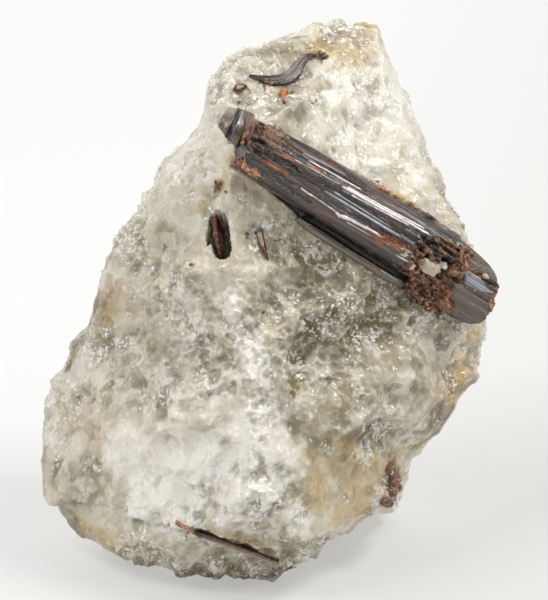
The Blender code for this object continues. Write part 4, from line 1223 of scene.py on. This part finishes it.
def rutile_finish(name, first, second):
    """Rutile streaked between charcoal and two body colours, under the strokes' colours, among them painted
    highlights and reflections, flecks, rust and painted glints.
    """
    made, shader, place = new_material(name, {"IOR": 2.0})
    along = place.value_of("along", 1)

    def drawn_out(stretch, detail=4.0):
        """Noise with so many waves for each mm along, across and outward."""
        return place.vectors("MULTIPLY", along, stretch).cloudy(1.0, detail, 0.7)

    streaks, hairs = drawn_out((0.12, 7.0, 1.0)), drawn_out((0.08, 15.0, 2.0), 2.0)
    hue, speck = drawn_out((0.05, 2.3, 0.6)), drawn_out((3.5,) * 3)
    fox, grit = drawn_out((2.2,) * 3, 6.0), drawn_out((8.0,) * 3, 1.0)
    value = place.value_of
    rough = value("rough")
    tone = (value("tone") * 0.45 + (streaks - 0.5) * 2.4 + (hairs - 0.5) * 2.2 + 0.05).clipped()
    body = place.mixed(((hue - 0.4) * 5.0).clipped(), first, second)
    tint = place.mixed(tone, CHARCOAL, body)
    tint = place.mixed((value("grey") * (streaks * 1.8 - 0.1)).clipped(), tint, HORN)
    tint = place.mixed((value("skin") * (speck * 2.0 - 0.1)).clipped(), tint, TAN)
    tint = place.mixed((value("red") * (speck * 5.0 - 1.7)).clipped(), tint, DEEP_RED)
    tint = place.mixed((value("orange") * (speck * 2.6 - 0.3)).clipped(), tint, AMBER)
    tint = place.mixed((value("black") * 0.94).clipped(), tint, BLACK)
    # Painted reflections and painted highlights: the blue and pale strokes
    tint = place.mixed((value("blue") * ((hairs - 0.36) * 6.0)).clipped(), tint, PAINTED_BLUE_REFLECTION)
    tint = place.mixed((value("pale") * ((hairs - 0.3) * 8.0)).clipped(), tint, PAINTED_GLEAM)
    tint = place.mixed(((fox * speck - 0.335) * 22.0).clipped() * 0.85, tint, DEEP_RED)
    rusty = (value("rust") * (speck * 4.0 - 1.0)).clipped()
    tint = place.mixed(rusty, tint, place.mixed(((fox - 0.42) * 6.0).clipped(), RUST_DARK, RUST_BRIGHT))
    # Painted glints: fine pale sparkles on the rust and the rough zones
    tint = place.mixed(((grit - 0.66) * 14.0).clipped() * (rough * 0.6 + 0.12), tint, PAINTED_GLEAM)
    lines = (streaks + hairs * 0.5) * (1 - rough) * LINE_RELIEF
    relief = lines + (speck + grit * 0.6) * (rusty + rough) * RUST_RELIEF
    dull = (rusty * 0.35 + rough * 0.25 + hairs * 0.25 + 0.04).clipped()
    connect(shader, Base_Color=tint, Roughness=dull, Metallic=(1 - rusty) * 0.25, Normal=relief.as_bump())
    return made


BROWN, MAUVE = (0.145, 0.074, 0.042, 1), (0.205, 0.14, 0.115, 1)
OXBLOOD, BRICK = (0.20, 0.030, 0.012, 1), (0.28, 0.075, 0.04, 1)
rutile = rutile_finish("rutile_finish", BROWN, MAUVE)
red_rutile = rutile_finish("red_rutile_finish", OXBLOOD, BRICK)
for piece in (prism, crust, specks, *small_rutile):
    piece.data.materials.append(red_rutile if piece.name.endswith("_plate") else rutile)
print(len(rutile.node_tree.nodes), "nodes make the rutile")

# %% [markdown]
# ## Studio
# A pale floor that glows with painted light, a large soft light from the upper right and a weaker one from
# the left. The sky is bright above and dim at the level of the viewer, which gives the crystal faces
# something dark to reflect.

# %% Floor
FLOOR_RADIUS = 3.0
FLOOR_CORNERS = 48
PAPER, PAPER_FRONT, PAPER_BACK = (0.37, 0.37, 0.36, 1), (0.64, 0.64, 0.625, 1), (1.07, 1.07, 1.075, 1)
PAPER_GLOW = 0.45
HORIZON = (2.1, 2.1, 2.09, 1)


def disc(radius, count):
    """The corners of a flat disc: radius * (cos, sin) of equal angles."""
    angles = np.linspace(0, 2 * math.pi, count, endpoint=False)
    return np.stack((radius * np.cos(angles), radius * np.sin(angles), np.zeros(count)), -1)


floor_mesh = bpy.data.meshes.new("floor")
floor_mesh.from_pydata(disc(FLOOR_RADIUS, FLOOR_CORNERS).tolist(), [], [list(range(FLOOR_CORNERS))])
floor = bpy.data.objects.new("floor", floor_mesh)
bpy.context.scene.collection.objects.link(floor)
paper, shader, place = new_material("pale_paper", {"Base Color": PAPER, "Roughness": 0.9})
# The paper glows with painted light, brightest at the back left and falling off to the front right
across_floor = place.vectors("DOT_PRODUCT", place, (-6.0, 2.2, 0), output=1) + 0.56
glow = place.mixed(across_floor.clipped(), PAPER_FRONT, PAPER_BACK)
# Far away it is as bright as the sky behind it, for the camera alone, so that a level view shows no horizon
far = place.vectors("LENGTH", place, output=1)
for_camera = place.node("ShaderNodeLightPath", output="Is Camera Ray")
glow = place.mixed((far * 1.2 - 0.4).clipped() * for_camera, glow, HORIZON)
connect(shader, Emission_Color=glow)
shader.inputs["Emission Strength"].default_value = PAPER_GLOW
floor_mesh.materials.append(paper)
print("the floor is", 2 * FLOOR_RADIUS, "m across")

# %% Sky
SKY_LOW, SKY_HIGH, SKY_SEEN = (0.05, 0.05, 0.05, 1), (0.45, 0.45, 0.45, 1), (0.97, 0.97, 0.965, 1)
world = bpy.data.worlds.new("studio")
bpy.context.scene.world = world
world.use_nodes = True
sky = Wire(world.node_tree, world.node_tree.nodes.new("ShaderNodeTexCoord").outputs["Generated"])
glow = (sky.vectors("DOT_PRODUCT", sky, (0, 0.5, 1.6), output=1) + 0.2).clipped()
sky_colour = sky.mixed(glow, SKY_LOW, SKY_HIGH)
from_camera = sky.node("ShaderNodeLightPath", output="Is Camera Ray")
sky_colour = sky.mixed(from_camera, sky_colour, SKY_SEEN)
world.node_tree.links.new(sky_colour.socket, world.node_tree.nodes["Background"].inputs["Color"])
print(len(world.node_tree.nodes), "nodes make the sky")


# %% Lights


def soft_light(name, place, size, power, colour=(1, 1, 1)):
    """An area light at a place given in the show side's axes (mm), aimed at the stone's middle."""
    lamp = bpy.data.lights.new(name, "AREA")
    lamp.size, lamp.energy, lamp.color = size, power, colour
    holder = bpy.data.objects.new(name, lamp)
    holder.location = in_world(np.array([place], float))[0]
    aim = Vector((0, 0, MIDDLE_HEIGHT * MM)) - holder.location
    holder.rotation_euler = aim.to_track_quat("-Z", "Y").to_euler()
    bpy.context.scene.collection.objects.link(holder)


soft_light("key", (420, 560, 250), 0.25, 3.3, (1.0, 0.985, 0.96))
# Small and bright, these two show as crisp lines on the crystal's ribs and as glints in the quartz
soft_light("rib_glint", (464, 139, 353), 0.11, 0.4)
soft_light("grain_glint", (-260, 380, 420), 0.09, 0.35)
soft_light("fill", (-450, 420, 320), 0.40, 2.2)
soft_light("back", (-150, 500, -500), 0.5, 1.2)
print(len(bpy.data.lights), "lights")

# %% Camera
SENSOR = 36.0
FRAME_HEIGHT = 78.0  # of the photograph's frame at the middle of the show side, in mm
camera_data = bpy.data.cameras.new("camera")
camera_data.sensor_width = SENSOR
camera_data.lens = SENSOR * VIEW_DISTANCE / FRAME_HEIGHT
camera_data.clip_start = 0.01
camera = bpy.data.objects.new("camera", camera_data)
camera.location = EYE
camera.rotation_euler = (math.pi / 2 - TILT, 0, 0)
bpy.context.scene.collection.objects.link(camera)
bpy.context.scene.camera = camera
bpy.context.scene.view_settings.view_transform = "Standard"
print(f"the lens is {camera_data.lens:.0f} mm, {VIEW_DISTANCE:.0f} mm from the show side")
